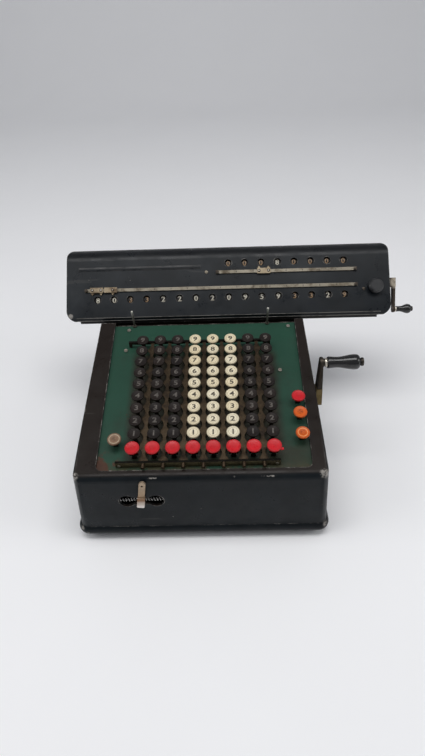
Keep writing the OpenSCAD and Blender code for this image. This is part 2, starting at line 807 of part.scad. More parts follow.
module stepped_drums() color([0.5, 0.48, 0.42]) {
  tooth_h = 3;
  tooth_w = 2;
  tooth_step = 24;
  for (i = [0:columns - 1])
    translate([keyboard_x + column_x(i) - drum_l / 2, drum_y, drum_z]) rotate([0, 90, 0]) difference() {
      union() {
        cylinder(h = drum_l, r = drum_r - tooth_h);
        for (k = [1:rows]) rotate([0, 0, k * tooth_step])
          translate([drum_r - tooth_h - 1, -tooth_w / 2, 0])
            cube([tooth_h + 1, tooth_w, drum_l * k / rows]);
      }
      translate([0, 0, -cut]) cylinder(h = drum_l + 2 * cut, r = shaft_r + seat_gap);
    }
}

// Places children on the crank: origin at the shaft on the hub's inner face, y up the arm
module on_crank() {
  translate([crank_hub_x, crank_y, crank_z]) rotate([90, 0, 90]) rotate(-crank_lean) children();
}

module crank_hub() color([0.5, 0.41, 0.22]) {
  on_crank() difference() {
    translate([-hub_half_w, -hub_below, 0]) cube([2 * hub_half_w, hub_below + hub_above, hub_t]);
    translate([0, 0, -cut]) cylinder(h = hub_t + 2 * cut, r = shaft_r + seat_gap);
  }
}

module crank_arm() color([0.16, 0.13, 0.1]) {
  grip_start = hub_t + collar_l + grip_gap;
  head_start = grip_start + grip_l + grip_gap;
  on_crank() {
    intersection() {
      linear_extrude(hub_t) {
        translate([0, crank_r]) circle(arm_top_r);
        polygon([
          [-hub_half_w, hub_above], [hub_half_w, hub_above], [arm_top_r, crank_r], [-arm_top_r, crank_r]]);
      }
      along_x(-2 * hub_half_w, 2 * hub_half_w) polygon([
        [0, arm_inset], [hub_above, arm_inset], [crank_r, hub_t - arm_t], [2 * crank_r, hub_t - arm_t],
        [2 * crank_r, hub_t + cut], [0, hub_t + cut]]);
    }
    translate([0, crank_r, hub_t - cut]) cylinder(h = head_start - hub_t + 2, r = pin_r);
    translate([0, crank_r, hub_t - cut]) cylinder(h = collar_l + cut, r = pin_r + 2);
    translate([0, crank_r, head_start]) cylinder(h = 2.5, r = pin_r + 2);
  }
}

// Half outline of a turned grip: x is the radius, y runs along the grip from its neck
module grip_outline(l, d, bore) {
  // Shares of the length and of the largest radius, from the neck over the waist and the swell to the end
  shape = [[0, 0.7], [0.06, 0.78], [0.28, 0.71], [0.8, 1], [0.95, 0.78], [1, 0.52]];
  parts = 5;
  function eased(a, b, t) = a + (b - a) * (1 - cos(180 * t)) / 2;
  polygon(concat(
    [[bore, 0]],
    [for (k = [0:len(shape) - 2], m = [0:parts - 1])
      let (a = shape[k], b = shape[k + 1], t = m / parts)
      [eased(a[1], b[1], t) * d / 2, (a[0] + (b[0] - a[0]) * t) * l]],
    [[shape[len(shape) - 1][1] * d / 2, l], [bore, l]]));
}

module crank_handle() color([0.07, 0.07, 0.07]) {
  on_crank() translate([0, crank_r, hub_t + collar_l + grip_gap])
    rotate_extrude() grip_outline(grip_l, grip_d, pin_r + run_gap);
}

// Shift lever: a strap outside the front face, a neck through the slot and an arm inside

module shift_lever() color([0.66, 0.6, 0.52]) {
  neck_rise = lever_neck_z - lever_pivot_z;
  strap_z = neck_rise - lever_strap_drop;
  strap_top = lever_top_z - lever_pivot_z - lever_w / 2;
  strap_y = lever_outer_y + lever_step;
  strap_t = lever_t - lever_step;
  foot_w = lever_w + 2 * lever_foot_spare;
  pin_l = lever_t + lug_gap + lug_t + lever_pin_spare;
  translate([lever_x, 0, lever_pivot_z]) rotate([0, lever_lean, 0]) {
    translate([-foot_w / 2, lever_outer_y, strap_z + lever_foot_r])
      cube([foot_w, lever_t, lever_foot_l - lever_foot_r]);
    translate([lever_foot_r - foot_w / 2, lever_outer_y, strap_z])
      cube([foot_w - 2 * lever_foot_r, lever_t, 2 * lever_foot_r]);
    for (side = [-1, 1])
      translate([side * (foot_w / 2 - lever_foot_r), lever_outer_y, strap_z + lever_foot_r])
        rotate([-90, 0, 0]) cylinder(h = lever_t, r = lever_foot_r);
    difference() {
      union() {
        translate([-lever_w / 2, strap_y, strap_z + lever_foot_l / 2])
          cube([lever_w, strap_t, strap_top - strap_z - lever_foot_l / 2]);
        translate([0, strap_y, strap_top]) rotate([-90, 0, 0]) cylinder(h = strap_t, r = lever_w / 2);
      }
      translate([0, strap_y - cut, strap_top + lever_w / 2 - lever_hole_drop])
        rotate([-90, 0, 0]) cylinder(h = strap_t + 2 * cut, r = lever_hole_r);
    }
    translate([-lever_neck_w / 2, lever_outer_y, neck_rise])
      cube([lever_neck_w, lever_inner_y + lever_t - lever_outer_y, lever_neck_h]);
    translate([-lever_w / 2, lever_inner_y, 0])
      cube([lever_w, lever_t, neck_rise + lever_neck_h]);
    translate([0, lever_inner_y, 0]) rotate([-90, 0, 0]) cylinder(h = lever_t, r = lever_w / 2);
    translate([0, lever_inner_y, 0]) rotate([-90, 0, 0]) cylinder(h = pin_l, r = lever_pin_r);
  }
}

// Centring spring behind the slot: one wire, wound as a helix along X

function spring_point(k) =
  let (a = 360 * k / spring_rings)
  [slot_x - spring_l / 2 + spring_pitch * k / spring_rings,
   spring_y + spring_r * cos(a), spring_z + spring_r * sin(a)];
function spring_ring(k) =
  let (a = 360 * k / spring_rings, p = spring_point(k), out = [0, cos(a), sin(a)])
  [for (s = [0:spring_sides - 1]) let (b = 360 * s / spring_sides)
    p + spring_wire_r * (cos(b) * out + sin(b) * [1, 0, 0])];
// Least distance between neighbouring turns, less the wire's thickness
spring_self_gap = min([
  for (k = [0:spring_rings], m = [-2:2])
    norm(spring_point(k) - spring_point(k + spring_rings + m))]) - 2 * spring_wire_r;
echo(spring_self_gap = spring_self_gap);

module shift_spring() color([0.75, 0.74, 0.7]) {
  last = spring_count * spring_sides;
  polyhedron(
    points = [for (k = [0:spring_count]) each spring_ring(k)],
    faces = concat(
      [for (s = [1:spring_sides - 2]) [0, s, s + 1]],
      [for (s = [1:spring_sides - 2]) [last, last + s + 1, last + s]],
      [for (k = [0:spring_count - 1], s = [0:spring_sides - 1])
        let (a = k * spring_sides + s, b = k * spring_sides + (s + 1) % spring_sides)
        each [[a, a + spring_sides, b], [b, a + spring_sides, b + spring_sides]]]));
}

// Carriage

module cover_outline(inset) {
  bottom = inset > 0 ? carriage_bottom - cut : carriage_bottom;
  foot_t = inset * (1 - face_sin) / face_cos;
  foot = [car_y + foot_t * face_cos + inset * face_sin, foot_z + foot_t * face_sin - inset * face_cos];
  polygon(concat(
    [[car_y + inset, bottom], foot],
    arc([top_y, top_z], top_r - inset, 90 + face_slope, 0, 24),
    [[car_back - inset, bottom]]));
}

module cover_form(inset) {
  spare = 0.6;
  low = -sill_h * face_sin - spare - (inset > 0 ? cut : 0);
  high = face_l + top_r + spare - inset;
  intersection() {
    along_x(car_left + inset, car_right - inset) cover_outline(inset);
    on_face() translate([(car_left + car_right) / 2 - dial_1_x, (low + high) / 2, -3 * face_l])
      linear_extrude(6 * face_l) rounded_rect(car_l - 2 * inset, high - low, end_r - inset);
  }
}

module windows(first, last, t) {
  for (i = [first:last])
    translate([i * column_pitch, t, -2 * cover_t - 1]) cylinder(h = 4 * cover_t + 2, r = window_d / 2);
}

module carriage_cover() color([0.12, 0.13, 0.14]) {
  difference() {
    cover_form(0);
    cover_form(cover_t);
    on_face() windows(0, lower_dial_count - 1, lower_window_t);
    on_face() windows(upper_first, lower_dial_count - 1, upper_window_t);
    rod_x(car_right - end_r, car_right + cut, clear_shaft_r + run_gap, clear_y, clear_z);
  }
}

// Centre of a row of dials, t up the face
function dial_y(t) = car_y + t * face_cos + dial_depth * face_sin;
function dial_z(t) = foot_z + t * face_sin - dial_depth * face_cos;

module runner(y) {
  groove_w = track_w + 2 * slide_gap;
  groove_top = track_top + slide_gap;
  from = car_left + end_plate_set;
  l = car_l - 2 * end_plate_set;
  difference() {
    translate([from, y - runner_w / 2, runner_bottom]) cube([l, runner_w, runner_top - runner_bottom]);
    translate([from - cut, y - groove_w / 2, runner_bottom - cut])
      cube([l + 2 * cut, groove_w, groove_top - runner_bottom + cut]);
  }
}

module carriage_frame() color([0.5, 0.5, 0.48]) {
  plate_bottom = track_top + slide_gap + 1;
  runner(track_front_y);
  runner(track_rear_y);
  for (x = [car_left + end_plate_set, car_right - end_plate_set - end_plate_t])
    along_x(x, x + end_plate_t) difference() {
      union() {
        cover_outline(cover_t + 0.2);
        translate([track_front_y, plate_bottom])
          square([track_rear_y - track_front_y, carriage_bottom - plate_bottom]);
      }
      for (t = [lower_window_t, upper_window_t]) translate([dial_y(t), dial_z(t)])
        circle(dial_shaft_r + seat_gap);
      translate([clear_y, clear_z]) circle(clear_shaft_r + run_gap);
    }
}

module dial_shafts() color([0.62, 0.62, 0.6]) {
  from = car_left + end_plate_set;
  to = car_right - end_plate_set;
  for (t = [lower_window_t, upper_window_t]) rod_x(from, to, dial_shaft_r, dial_y(t), dial_z(t));
}

module dial_row(first, last, t) {
  for (i = [first:last])
    translate([dial_1_x + i * column_pitch - dial_w / 2, dial_y(t), dial_z(t)]) rotate([0, 90, 0])
      difference() {
        cylinder(h = dial_w, r = dial_r);
        translate([0, 0, -cut]) cylinder(h = dial_w + 2 * cut, r = dial_shaft_r + run_gap);
      }
}

module lower_dials() color([0.15, 0.14, 0.13]) {
  dial_row(0, lower_dial_count - 1, lower_window_t);
}

module upper_dials() color([0.15, 0.14, 0.13]) {
  dial_row(upper_first, lower_dial_count - 1, upper_window_t);
}

// Decimal rails with a screw at each end, and the pointers that slide on them

module decimal_rail(from, to, t) {
  translate([from, t - rail_w / 2, 0]) cube([to - from, rail_w, rail_t]);
  for (x = [from + rail_w / 2, to - rail_w / 2])
    translate([x, t, 0]) cylinder(h = rail_t + rail_screw_h, r = rail_screw_r);
}

module decimal_rails() color([0.68, 0.64, 0.57]) {
  last = (lower_dial_count - 1) * column_pitch;
  on_face() {
    decimal_rail(-rail_margin, last + rail_margin, lower_rail_t);
    decimal_rail(upper_first * column_pitch - rail_margin, last + rail_margin, upper_rail_t);
  }
}

// A clip over a rail with pointed prongs; side is -1 for prongs down the face and 1 for up
module pointer(x, t, prongs, side) {
  legs = 1;
  inner_w = rail_w + 2 * pointer_gap;
  outer_w = inner_w + 2 * legs;
  h = rail_t + pointer_gap + pointer_t;
  prong_z = rail_t / 2;
  translate([x, t, 0]) {
    difference() {
      translate([-pointer_l / 2, -outer_w / 2, pointer_gap]) cube([pointer_l, outer_w, h - pointer_gap]);
      translate([-pointer_l, -inner_w / 2, 0]) cube([2 * pointer_l, inner_w, rail_t + pointer_gap]);
    }
    for (px = prongs) translate([px, side * (outer_w / 2 - 0.2), prong_z])
      linear_extrude(0.8) polygon([[-2.2, 0], [2.2, 0], [0, side * pointer_prong]]);
  }
}

module lower_pointers() color([0.6, 0.5, 0.36]) {
  on_face() {
    pointer(lower_pointer_x, lower_rail_t, [-5, 5], -1);
    pointer(lower_pointer_x + pointer_step, lower_rail_t, [2.5], -1);
  }
}

module upper_pointer() color([0.72, 0.68, 0.6]) {
  on_face() pointer(upper_pointer_x, upper_rail_t, [-5.4, 5.4], 1);
}

module carriage_knob() color([0.09, 0.1, 0.11]) {
  on_face() translate([dial_last_x - dial_1_x + knob_x, knob_t, 0])
    rotate_extrude() polygon([
      [0, 0], [knob_d / 2 - 2.5, 0], [knob_d / 2 - 2.5, 2], [knob_d / 2, 3.5], [knob_d / 2, knob_h - 2],
      [knob_d / 2 - 2, knob_h], [0, knob_h]]);
}

// Clearing crank

module clear_shaft() color([0.62, 0.62, 0.6]) {
  rod_x(car_left + end_plate_set, clear_hub_x + clear_hub_t, clear_shaft_r, clear_y, clear_z);
}

// Places children on the clearing crank: origin at the shaft on the hub's inner face, y down the arm
module on_clear_crank() {
  translate([clear_hub_x, clear_y, clear_z]) rotate([90, 0, 90]) rotate(180 - clear_lean) children();
}

module clear_crank_arm() color([0.62, 0.58, 0.5]) {
  hub_half = 5.2;
  arm_start = clear_hub_t - clear_arm_t;
  end_w = 3;
  pin_end = clear_hub_t + clear_grip_l + 2 * grip_gap;
  on_clear_crank() {
    difference() {
      union() {
        translate([-hub_half, -hub_half, 0]) cube([2 * hub_half, 2 * hub_half, clear_hub_t]);
        translate([0, 0, arm_start]) linear_extrude(clear_arm_t) {
          translate([0, clear_r]) circle(end_w + 0.8);
          polygon([
            [-hub_half + 1, hub_half - cut], [hub_half - 1, hub_half - cut],
            [end_w, clear_r], [-end_w, clear_r]]);
        }
      }
      translate([0, 0, -cut]) cylinder(h = clear_hub_t + 2 * cut, r = clear_shaft_r + seat_gap);
    }
    translate([0, clear_r, clear_hub_t - cut]) cylinder(h = pin_end - clear_hub_t + cut, r = clear_pin_r);
    translate([0, clear_r, pin_end - grip_gap]) cylinder(h = 1.2, r = clear_pin_r + 1.2);
  }
}

module clear_handle() color([0.07, 0.07, 0.07]) {
  on_clear_crank() translate([0, clear_r, clear_hub_t + grip_gap])
    rotate_extrude() grip_outline(clear_grip_l, clear_grip_d, clear_pin_r + run_gap);
}

base_pan();
case_shell();
keyboard_plate();
key_guide_plate();
marker_bars();
side_frames();
frame_tie_rods();
carriage_tracks();
guide_posts();
rubber_feet();
case_screws();
for (i = [0:columns - 1]) {
  digit_keys(i);
  clear_key(i);
}
function_key(red_key_at, red);  // red_key
function_key(rear_orange_key_at, orange);  // rear_orange_key
function_key(front_orange_key_at, orange);  // front_orange_key
function_key(tan_key_at, [0.7, 0.62, 0.52]);  // tan_key
for (i = [0:columns - 2])
  decimal_marker(i);
crank_shaft();
drive_gear();
crank_hub();
crank_arm();
crank_handle();
drum_shaft();
drum_gear();
stepped_drums();
shift_lever();
shift_spring();
carriage_cover();
carriage_frame();
decimal_rails();
lower_pointers();
upper_pointer();
dial_shafts();
lower_dials();
upper_dials();
carriage_knob();
clear_shaft();
clear_crank_arm();
clear_handle();
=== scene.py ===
"""Looks of the crank-driven calculating machine: finishes, figures, turned grips and small fittings."""
import json
import math
import random

import bmesh
import bpy
from mathutils import Matrix, Vector

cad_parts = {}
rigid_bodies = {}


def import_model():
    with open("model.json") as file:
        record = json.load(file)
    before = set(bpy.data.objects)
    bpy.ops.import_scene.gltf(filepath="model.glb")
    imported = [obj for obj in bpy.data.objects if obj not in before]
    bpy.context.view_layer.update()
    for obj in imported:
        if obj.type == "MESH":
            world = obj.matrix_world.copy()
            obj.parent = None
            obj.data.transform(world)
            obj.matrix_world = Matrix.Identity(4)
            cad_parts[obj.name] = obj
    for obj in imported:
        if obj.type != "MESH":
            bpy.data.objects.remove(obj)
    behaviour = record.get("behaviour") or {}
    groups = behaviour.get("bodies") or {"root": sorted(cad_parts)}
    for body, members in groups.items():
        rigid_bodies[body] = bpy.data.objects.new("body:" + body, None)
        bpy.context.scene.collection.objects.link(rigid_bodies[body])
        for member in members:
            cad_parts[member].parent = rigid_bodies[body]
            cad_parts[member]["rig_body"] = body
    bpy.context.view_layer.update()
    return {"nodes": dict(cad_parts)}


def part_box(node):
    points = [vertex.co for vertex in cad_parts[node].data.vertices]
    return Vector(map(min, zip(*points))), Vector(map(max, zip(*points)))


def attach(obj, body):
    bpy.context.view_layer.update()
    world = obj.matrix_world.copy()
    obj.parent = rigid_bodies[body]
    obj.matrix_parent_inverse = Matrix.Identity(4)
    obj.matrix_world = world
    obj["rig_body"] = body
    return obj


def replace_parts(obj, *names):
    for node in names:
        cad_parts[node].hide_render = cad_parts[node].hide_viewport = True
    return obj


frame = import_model()

MM = 0.001
scene = bpy.context.scene

# Places in millimetres and degrees: u runs up the deck from the first row, t up the face from its foot
COLUMN_PITCH = 19.05
COLUMNS = 8
ROW_PITCH = 15.0
ROWS = 9
DECK_SLOPE = 12.0
DECK_ORIGIN = (3.4, -100.0, 114.69)
KEY_D = 12.7
KEY_CAP_H = 2.5
CLEAR_KEY_D = 14.0
CLEAR_KEY_AHEAD = 17.4
CLEAR_KEY_LIFT = 2.6
FUNCTION_KEY_D = 13.6
FUNCTION_KEY_DROP = 4.0
FUNCTION_KEY_X = 95.5
RED_KEY_U = 43.7
REAR_ORANGE_KEY_U = 24.0
FRONT_ORANGE_KEY_U = 0.0
TAN_KEY_AT = (-86.0, -3.4)
STEM_W = 4.0
STEM_T = 1.8
STEM_REACH = 38.0
PLATE_TOP = -16.5
FRONT_BAR_U = -26.9
FRONT_BAR_T = 2.4
FACE_SLOPE = 44.5
FACE_ORIGIN = (-120.425, 63.5, 138.5)
LOWER_DIALS = 16
UPPER_DIALS = 8
FIRST_UPPER_DIAL = LOWER_DIALS - UPPER_DIALS
DIAL_R = 11.5
LOWER_WINDOW_T = 21.3
UPPER_WINDOW_T = 61.5
DIAL_DEPTH = 14.0
LOWER_RAIL_T = 32.2
UPPER_RAIL_T = 50.5
RAIL_W = 3.6
RAIL_T = 1.6
RAIL_MARGIN = 14.5
CREASE_T = 57.5


def placed(origin, slope):
    """Matrix of a plane tilted about X, in metres, for pieces drawn in millimetres."""
    tilt = Matrix.Rotation(math.radians(slope), 4, "X")
    return Matrix.Translation(Vector(origin) * MM) @ tilt @ Matrix.Scale(MM, 4)


ON_DECK = placed(DECK_ORIGIN, DECK_SLOPE)
ON_FACE = placed(FACE_ORIGIN, FACE_SLOPE)
IN_MODEL = Matrix.Scale(MM, 4)


def column_x(i):
    """Place of a key column across the deck."""
    return (i - (COLUMNS - 1) / 2) * COLUMN_PITCH


def box_mm(node):
    """Lowest and highest corner of a CAD node at rest, in millimetres."""
    return [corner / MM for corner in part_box(node)]


# Node materials


class Shader:
    """Builds one node material around a Principled shader."""

    def __init__(self, name):
        self.material = bpy.data.materials.new(name)
        self.material.use_nodes = True
        self.tree = self.material.node_tree
        self.principled = self.tree.nodes["Principled BSDF"]
        coords = self.tree.nodes.new("ShaderNodeTexCoord")
        self.where = coords.outputs["Object"]

    def put(self, socket, value):
        """Gives a socket a link, a colour or a plain value."""
        if isinstance(value, bpy.types.NodeSocket):
            self.tree.links.new(value, socket)
        elif isinstance(value, (tuple, list)) and len(value) == 3 and socket.type == "RGBA":
            socket.default_value = (*value, 1)
        else:
            socket.default_value = value

    def set(self, **inputs):
        """Sets inputs of the Principled shader, with underscores for the spaces in their names."""
        for key, value in inputs.items():
            self.put(self.principled.inputs[key.replace("_", " ")], value)

    def noise(self, scale, detail=4, roughness=0.55, stretch=None, seed=0.0):
        """Cloudy values from 0 to 1, stretched or moved to another place where asked."""
        where = self.where
        if stretch or seed:
            move = self.tree.nodes.new("ShaderNodeMapping")
            self.put(move.inputs["Vector"], where)
            move.inputs["Scale"].default_value = stretch or (1, 1, 1)
            move.inputs["Location"].default_value = (seed, seed * 0.7, -seed)
            where = move.outputs["Vector"]
        node = self.tree.nodes.new("ShaderNodeTexNoise")
        self.put(node.inputs["Vector"], where)
        node.inputs["Scale"].default_value = scale
        node.inputs["Detail"].default_value = detail
        node.inputs["Roughness"].default_value = roughness
        return node.outputs["Fac"]

    def spots(self, scale, size, softness=0.04):
        """Small round flecks: 1 inside a fleck and 0 elsewhere."""
        node = self.tree.nodes.new("ShaderNodeTexVoronoi")
        self.put(node.inputs["Vector"], self.where)
        node.inputs["Scale"].default_value = scale
        return self.fade(node.outputs["Distance"], size + softness, size)

    def fade(self, value, start, end, low=0.0, high=1.0):
        """Smooth change from low at start to high at end."""
        node = self.tree.nodes.new("ShaderNodeMapRange")
        node.interpolation_type = "SMOOTHSTEP"
        self.put(node.inputs["Value"], value)
        flip = start > end
        node.inputs["From Min"].default_value = min(start, end)
        node.inputs["From Max"].default_value = max(start, end)
        node.inputs["To Min"].default_value = high if flip else low
        node.inputs["To Max"].default_value = low if flip else high
        return node.outputs["Result"]

    def math(self, operation, a, b=0.0):
        node = self.tree.nodes.new("ShaderNodeMath")
        node.operation = operation
        self.put(node.inputs[0], a)
        self.put(node.inputs[1], b)
        return node.outputs[0]

    def mix(self, amount, a, b):
        node = self.tree.nodes.new("ShaderNodeMix")
        node.data_type = "RGBA"
        self.put(node.inputs["Factor"], amount)
        self.put(node.inputs["A"], a)
        self.put(node.inputs["B"], b)
        return node.outputs["Result"]

    def attribute(self, name):
        node = self.tree.nodes.new("ShaderNodeAttribute")
        node.attribute_name = name
        return node.outputs["Fac"]

    def edges(self, radius):
        """1 on sharp edges and 0 on flat ground, from the angle between the rounded and the true normal."""
        bevel = self.tree.nodes.new("ShaderNodeBevel")
        bevel.samples = 6
        bevel.inputs["Radius"].default_value = radius * MM
        true = self.tree.nodes.new("ShaderNodeNewGeometry")
        dot = self.tree.nodes.new("ShaderNodeVectorMath")
        dot.operation = "DOT_PRODUCT"
        self.put(dot.inputs[0], bevel.outputs["Normal"])
        self.put(dot.inputs[1], true.outputs["True Normal"])
        return self.fade(dot.outputs["Value"], 0.995, 0.85)

    def near(self, point, reach):
        """1 at a point of the model, in millimetres, falling to 0 at reach."""
        node = self.tree.nodes.new("ShaderNodeVectorMath")
        node.operation = "DISTANCE"
        self.put(node.inputs[0], self.where)
        node.inputs[1].default_value = Vector(point) * MM
        return self.fade(node.outputs["Value"], reach * MM, 0.0)

    def line(self, y, z, reach):
        """1 on a line of the model along X, in millimetres, falling to 0 at reach."""
        flat = self.tree.nodes.new("ShaderNodeVectorMath")
        flat.operation = "MULTIPLY"
        self.put(flat.inputs[0], self.where)
        flat.inputs[1].default_value = (0, 1, 1)
        node = self.tree.nodes.new("ShaderNodeVectorMath")
        node.operation = "DISTANCE"
        self.put(node.inputs[0], flat.outputs["Vector"])
        node.inputs[1].default_value = Vector((0, y, z)) * MM
        return self.fade(node.outputs["Value"], reach * MM, 0.0)

    def along(self, direction, start, end):
        """0 to 1 between two distances along a direction of the model, in millimetres."""
        node = self.tree.nodes.new("ShaderNodeVectorMath")
        node.operation = "DOT_PRODUCT"
        self.put(node.inputs[0], self.where)
        node.inputs[1].default_value = direction
        return self.fade(node.outputs["Value"], start * MM, end * MM)

    def facing_up(self):
        """Height of the surface's own normal: 1 on level ground and 0 on a wall."""
        node = self.tree.nodes.new("ShaderNodeNewGeometry")
        split = self.tree.nodes.new("ShaderNodeSeparateXYZ")
        self.put(split.inputs[0], node.outputs["Normal"])
        return split.outputs["Z"]

    def bump(self, height, strength, distance):
        """Fine relief from a height, its depth in millimetres."""
        node = self.tree.nodes.new("ShaderNodeBump")
        node.inputs["Strength"].default_value = strength
        node.inputs["Distance"].default_value = distance * MM
        self.put(node.inputs["Height"], height)
        self.put(self.principled.inputs["Normal"], node.outputs["Normal"])


# The first colour is painted reflection, a lighter bluish sheen painted on black enamel; the others are dust,
# scratches and bare metal.
PAINTED_SHEEN = (0.02, 0.024, 0.028)
DUST = (0.05, 0.048, 0.045)
SCRATCH = (0.12, 0.115, 0.105)
BARE_METAL = ((0.22, 0.2, 0.175), (0.42, 0.4, 0.37))


def japan(name, colour, top, worn, rough, places=(), lines=(), painted_sheen=(), shine=0.24):
    """Black stove enamel with dust, scratches and chips, bare on edges and worn places.

    top is its tone where it faces up. places and the sheen patches hold (point, reach), and lines hold
    (y, z, reach, cover), in millimetres of the model. The sheen patches are painted reflection: lighter,
    bluish clouds painted into the colour of the enamel.
    """
    s = Shader(name)
    ground = s.mix(s.fade(s.noise(28, 6), 0.38, 0.68), colour, [c * 1.5 for c in colour])
    if top:
        level = s.mix(s.noise(40, 6), top, [c * 1.5 for c in top])
        ground = s.mix(s.fade(s.facing_up(), 0.7, 0.96), ground, level)
    # Painted reflection: near each given point a lighter, bluish cloud is mixed into the colour to stand in
    # for sheen.
    for place, reach in painted_sheen:
        sheen_cloud = s.fade(s.noise(20, 6, 0.6, seed=9.0), 0.25, 0.7, 0.1, 0.8)
        ground = s.mix(s.math("MULTIPLY", s.near(place, reach), sheen_cloud), ground, PAINTED_SHEEN)
    dusty = s.mix(s.fade(s.noise(9, 8, 0.7), 0.5, 0.74, 0.0, 0.14), ground, DUST)
    scratch = s.fade(s.noise(240, 2, stretch=(0.06, 0.6, 0.6), seed=3.0), 0.71, 0.75)
    marked = s.mix(s.math("MULTIPLY", scratch, 0.12), dusty, SCRATCH)
    wear = s.math("MULTIPLY", s.edges(1.6), s.fade(s.noise(120, 5, 0.7, seed=2.0), 0.46, 0.66, 0.06, worn))
    chip = s.math("MULTIPLY", s.spots(260, 0.09), s.fade(s.noise(34, 3, seed=4.0), 0.66, 0.72))
    wear = s.math("MAXIMUM", wear, s.math("MULTIPLY", chip, 0.8))
    for k, (place, reach) in enumerate(places):
        ragged = s.fade(s.noise(260, 6, 0.8, seed=11.0 + k), 0.36, 0.56)
        rub = s.math("MULTIPLY", s.near(place, reach), ragged)
        wear = s.math("MAXIMUM", wear, s.fade(rub, 0.15, 0.6, 0.0, 0.75))
    for k, (y, z, reach, cover) in enumerate(lines):
        ragged = s.fade(s.noise(75, 7, 0.75, seed=21.0 + k), 0.72 - 0.4 * cover, 0.8 - 0.4 * cover)
        rub = s.math("MULTIPLY", s.line(y, z, reach), ragged)
        wear = s.math("MAXIMUM", wear, s.fade(rub, 0.35, 0.75))
    bare = s.mix(s.noise(300, 3), *BARE_METAL)
    s.set(Base_Color=s.mix(wear, marked, bare))
    s.set(Metallic=s.math("MULTIPLY", wear, 0.35))
    s.set(Roughness=s.fade(s.noise(60, 6, 0.65, seed=7.0), 0.3, 0.75, rough - 0.08, rough + 0.16))
    s.set(Specular_IOR_Level=shine)
    s.bump(s.math("SUBTRACT", s.noise(420, 4), s.math("MULTIPLY", wear, 0.25)), 0.14, 0.12)
    return s.material


# Borders of the dirt and painted shade among the keys: direction, clear and darkened distance in millimetres
# of the model
KEY_FIELD = (((1, 0, 0), -79, -68), ((1, 0, 0), 86, 75), ((0, 1, 0), 20, 8), ((0, 1, 0), -126, -110))
# The stain along the plate's front in the same form
FRONT_STAIN = ((0, 1, 0), -114, -126)
# Stained corners of the plate: point and reach in millimetres of the model
RUSTED_CORNER = ((-97, -130, 96), 36)
HANDLED_CORNER = ((88, -112, 98), 44)


def green_paint(name):
    """Green enamel of the keyboard plate, grimy and darkened with painted shade among the keys, and rusted at
    its front left corner.
    """
    s = Shader(name)
    paint = s.mix(s.noise(35, 6), (0.009, 0.046, 0.027), (0.015, 0.064, 0.039))
    # Painted shade as well as dirt: the plate among and under the keys is darkened to brown, for the shade of
    # the keys and for grime.
    dirt_and_shade_among_keys = s.fade(s.noise(26, 7, 0.7, seed=5.0), 0.2, 0.6, 0.75, 1.0)
    for border in KEY_FIELD:
        dirt_and_shade_among_keys = s.math("MULTIPLY", dirt_and_shade_among_keys, s.along(*border))
    brown = s.mix(s.noise(45, 6), (0.012, 0.0075, 0.004), (0.03, 0.017, 0.009))
    dirt_and_painted_shade = s.mix(s.math("MULTIPLY", dirt_and_shade_among_keys, 0.92), paint, brown)
    grime = s.mix(s.fade(s.noise(14, 8, 0.7, seed=3.0), 0.5, 0.78, 0.0, 0.5), dirt_and_painted_shade, (0.02, 0.026, 0.018))
    mottled = s.fade(s.noise(70, 7, 0.7, seed=9.0), 0.34, 0.58)
    front = s.math("MULTIPLY", s.along(*FRONT_STAIN), mottled)
    stained = s.mix(s.math("MULTIPLY", front, 0.75), grime, (0.06, 0.043, 0.017))
    smeared = s.fade(s.noise(30, 7, 0.7, seed=12.0), 0.3, 0.6, 0.2, 0.9)
    handled = s.math("MULTIPLY", s.near(*HANDLED_CORNER), smeared)
    stained = s.mix(handled, stained, (0.022, 0.021, 0.011))
    patch = s.math("MULTIPLY", s.near(*RUSTED_CORNER), s.fade(s.noise(60, 7, 0.7), 0.38, 0.6))
    speck = s.math("MULTIPLY", s.spots(180, 0.1), s.fade(s.noise(22, 3, seed=6.0), 0.55, 0.64))
    rust = s.math("MAXIMUM", s.fade(patch, 0.16, 0.45), s.math("MULTIPLY", speck, 0.7))
    rusty = s.mix(s.noise(140, 5), (0.03, 0.013, 0.008), (0.09, 0.035, 0.016))
    s.set(Base_Color=s.mix(rust, stained, rusty))
    s.set(Roughness=s.fade(s.noise(50, 5, seed=1.0), 0.3, 0.7, 0.4, 0.62), Specular_IOR_Level=0.25)
    s.bump(s.math("ADD", s.noise(500, 3), s.math("MULTIPLY", rust, s.noise(260, 5))), 0.2, 0.15)
    return s.material


def plated(name, bright, tarnish, amount, rough, brushed=None, only=None, top=None):
    """Worn metal with tarnish in patches and dark pits.

    Where only is given, as (point, reach), just that place is bright. top is its tone where it faces up.
    """
    s = Shader(name)
    patch = s.fade(s.noise(70, 7, 0.7), 0.62 - 0.3 * amount, 0.8 - 0.2 * amount, 0.0, 0.9)
    if only:
        patch = s.math("MAXIMUM", patch, s.fade(s.near(*only), 0.5, 0.2))
    ground = s.mix(s.noise(380, 3, stretch=brushed), bright, [c * 0.82 for c in bright])
    stained = s.mix(patch, ground, tarnish)
    if top:
        stained = s.mix(s.fade(s.facing_up(), 0.5, 0.8), stained, top)
    pit = s.math("MULTIPLY", s.spots(520, 0.12), s.fade(s.noise(90, 3, seed=5.0), 0.5, 0.6))
    s.set(Base_Color=s.mix(s.math("MULTIPLY", pit, 0.6), stained, [c * 0.3 for c in tarnish]))
    s.set(Metallic=s.fade(patch, 0.2, 0.9, 1.0, 0.75))
    grain = s.fade(s.noise(160, 5, stretch=brushed), 0.25, 0.75, rough - 0.08, rough + 0.14)
    s.set(Roughness=s.math("ADD", grain, s.math("MULTIPLY", patch, 0.2)))
    s.bump(s.noise(700, 3, stretch=brushed), 0.12, 0.06)
    return s.material


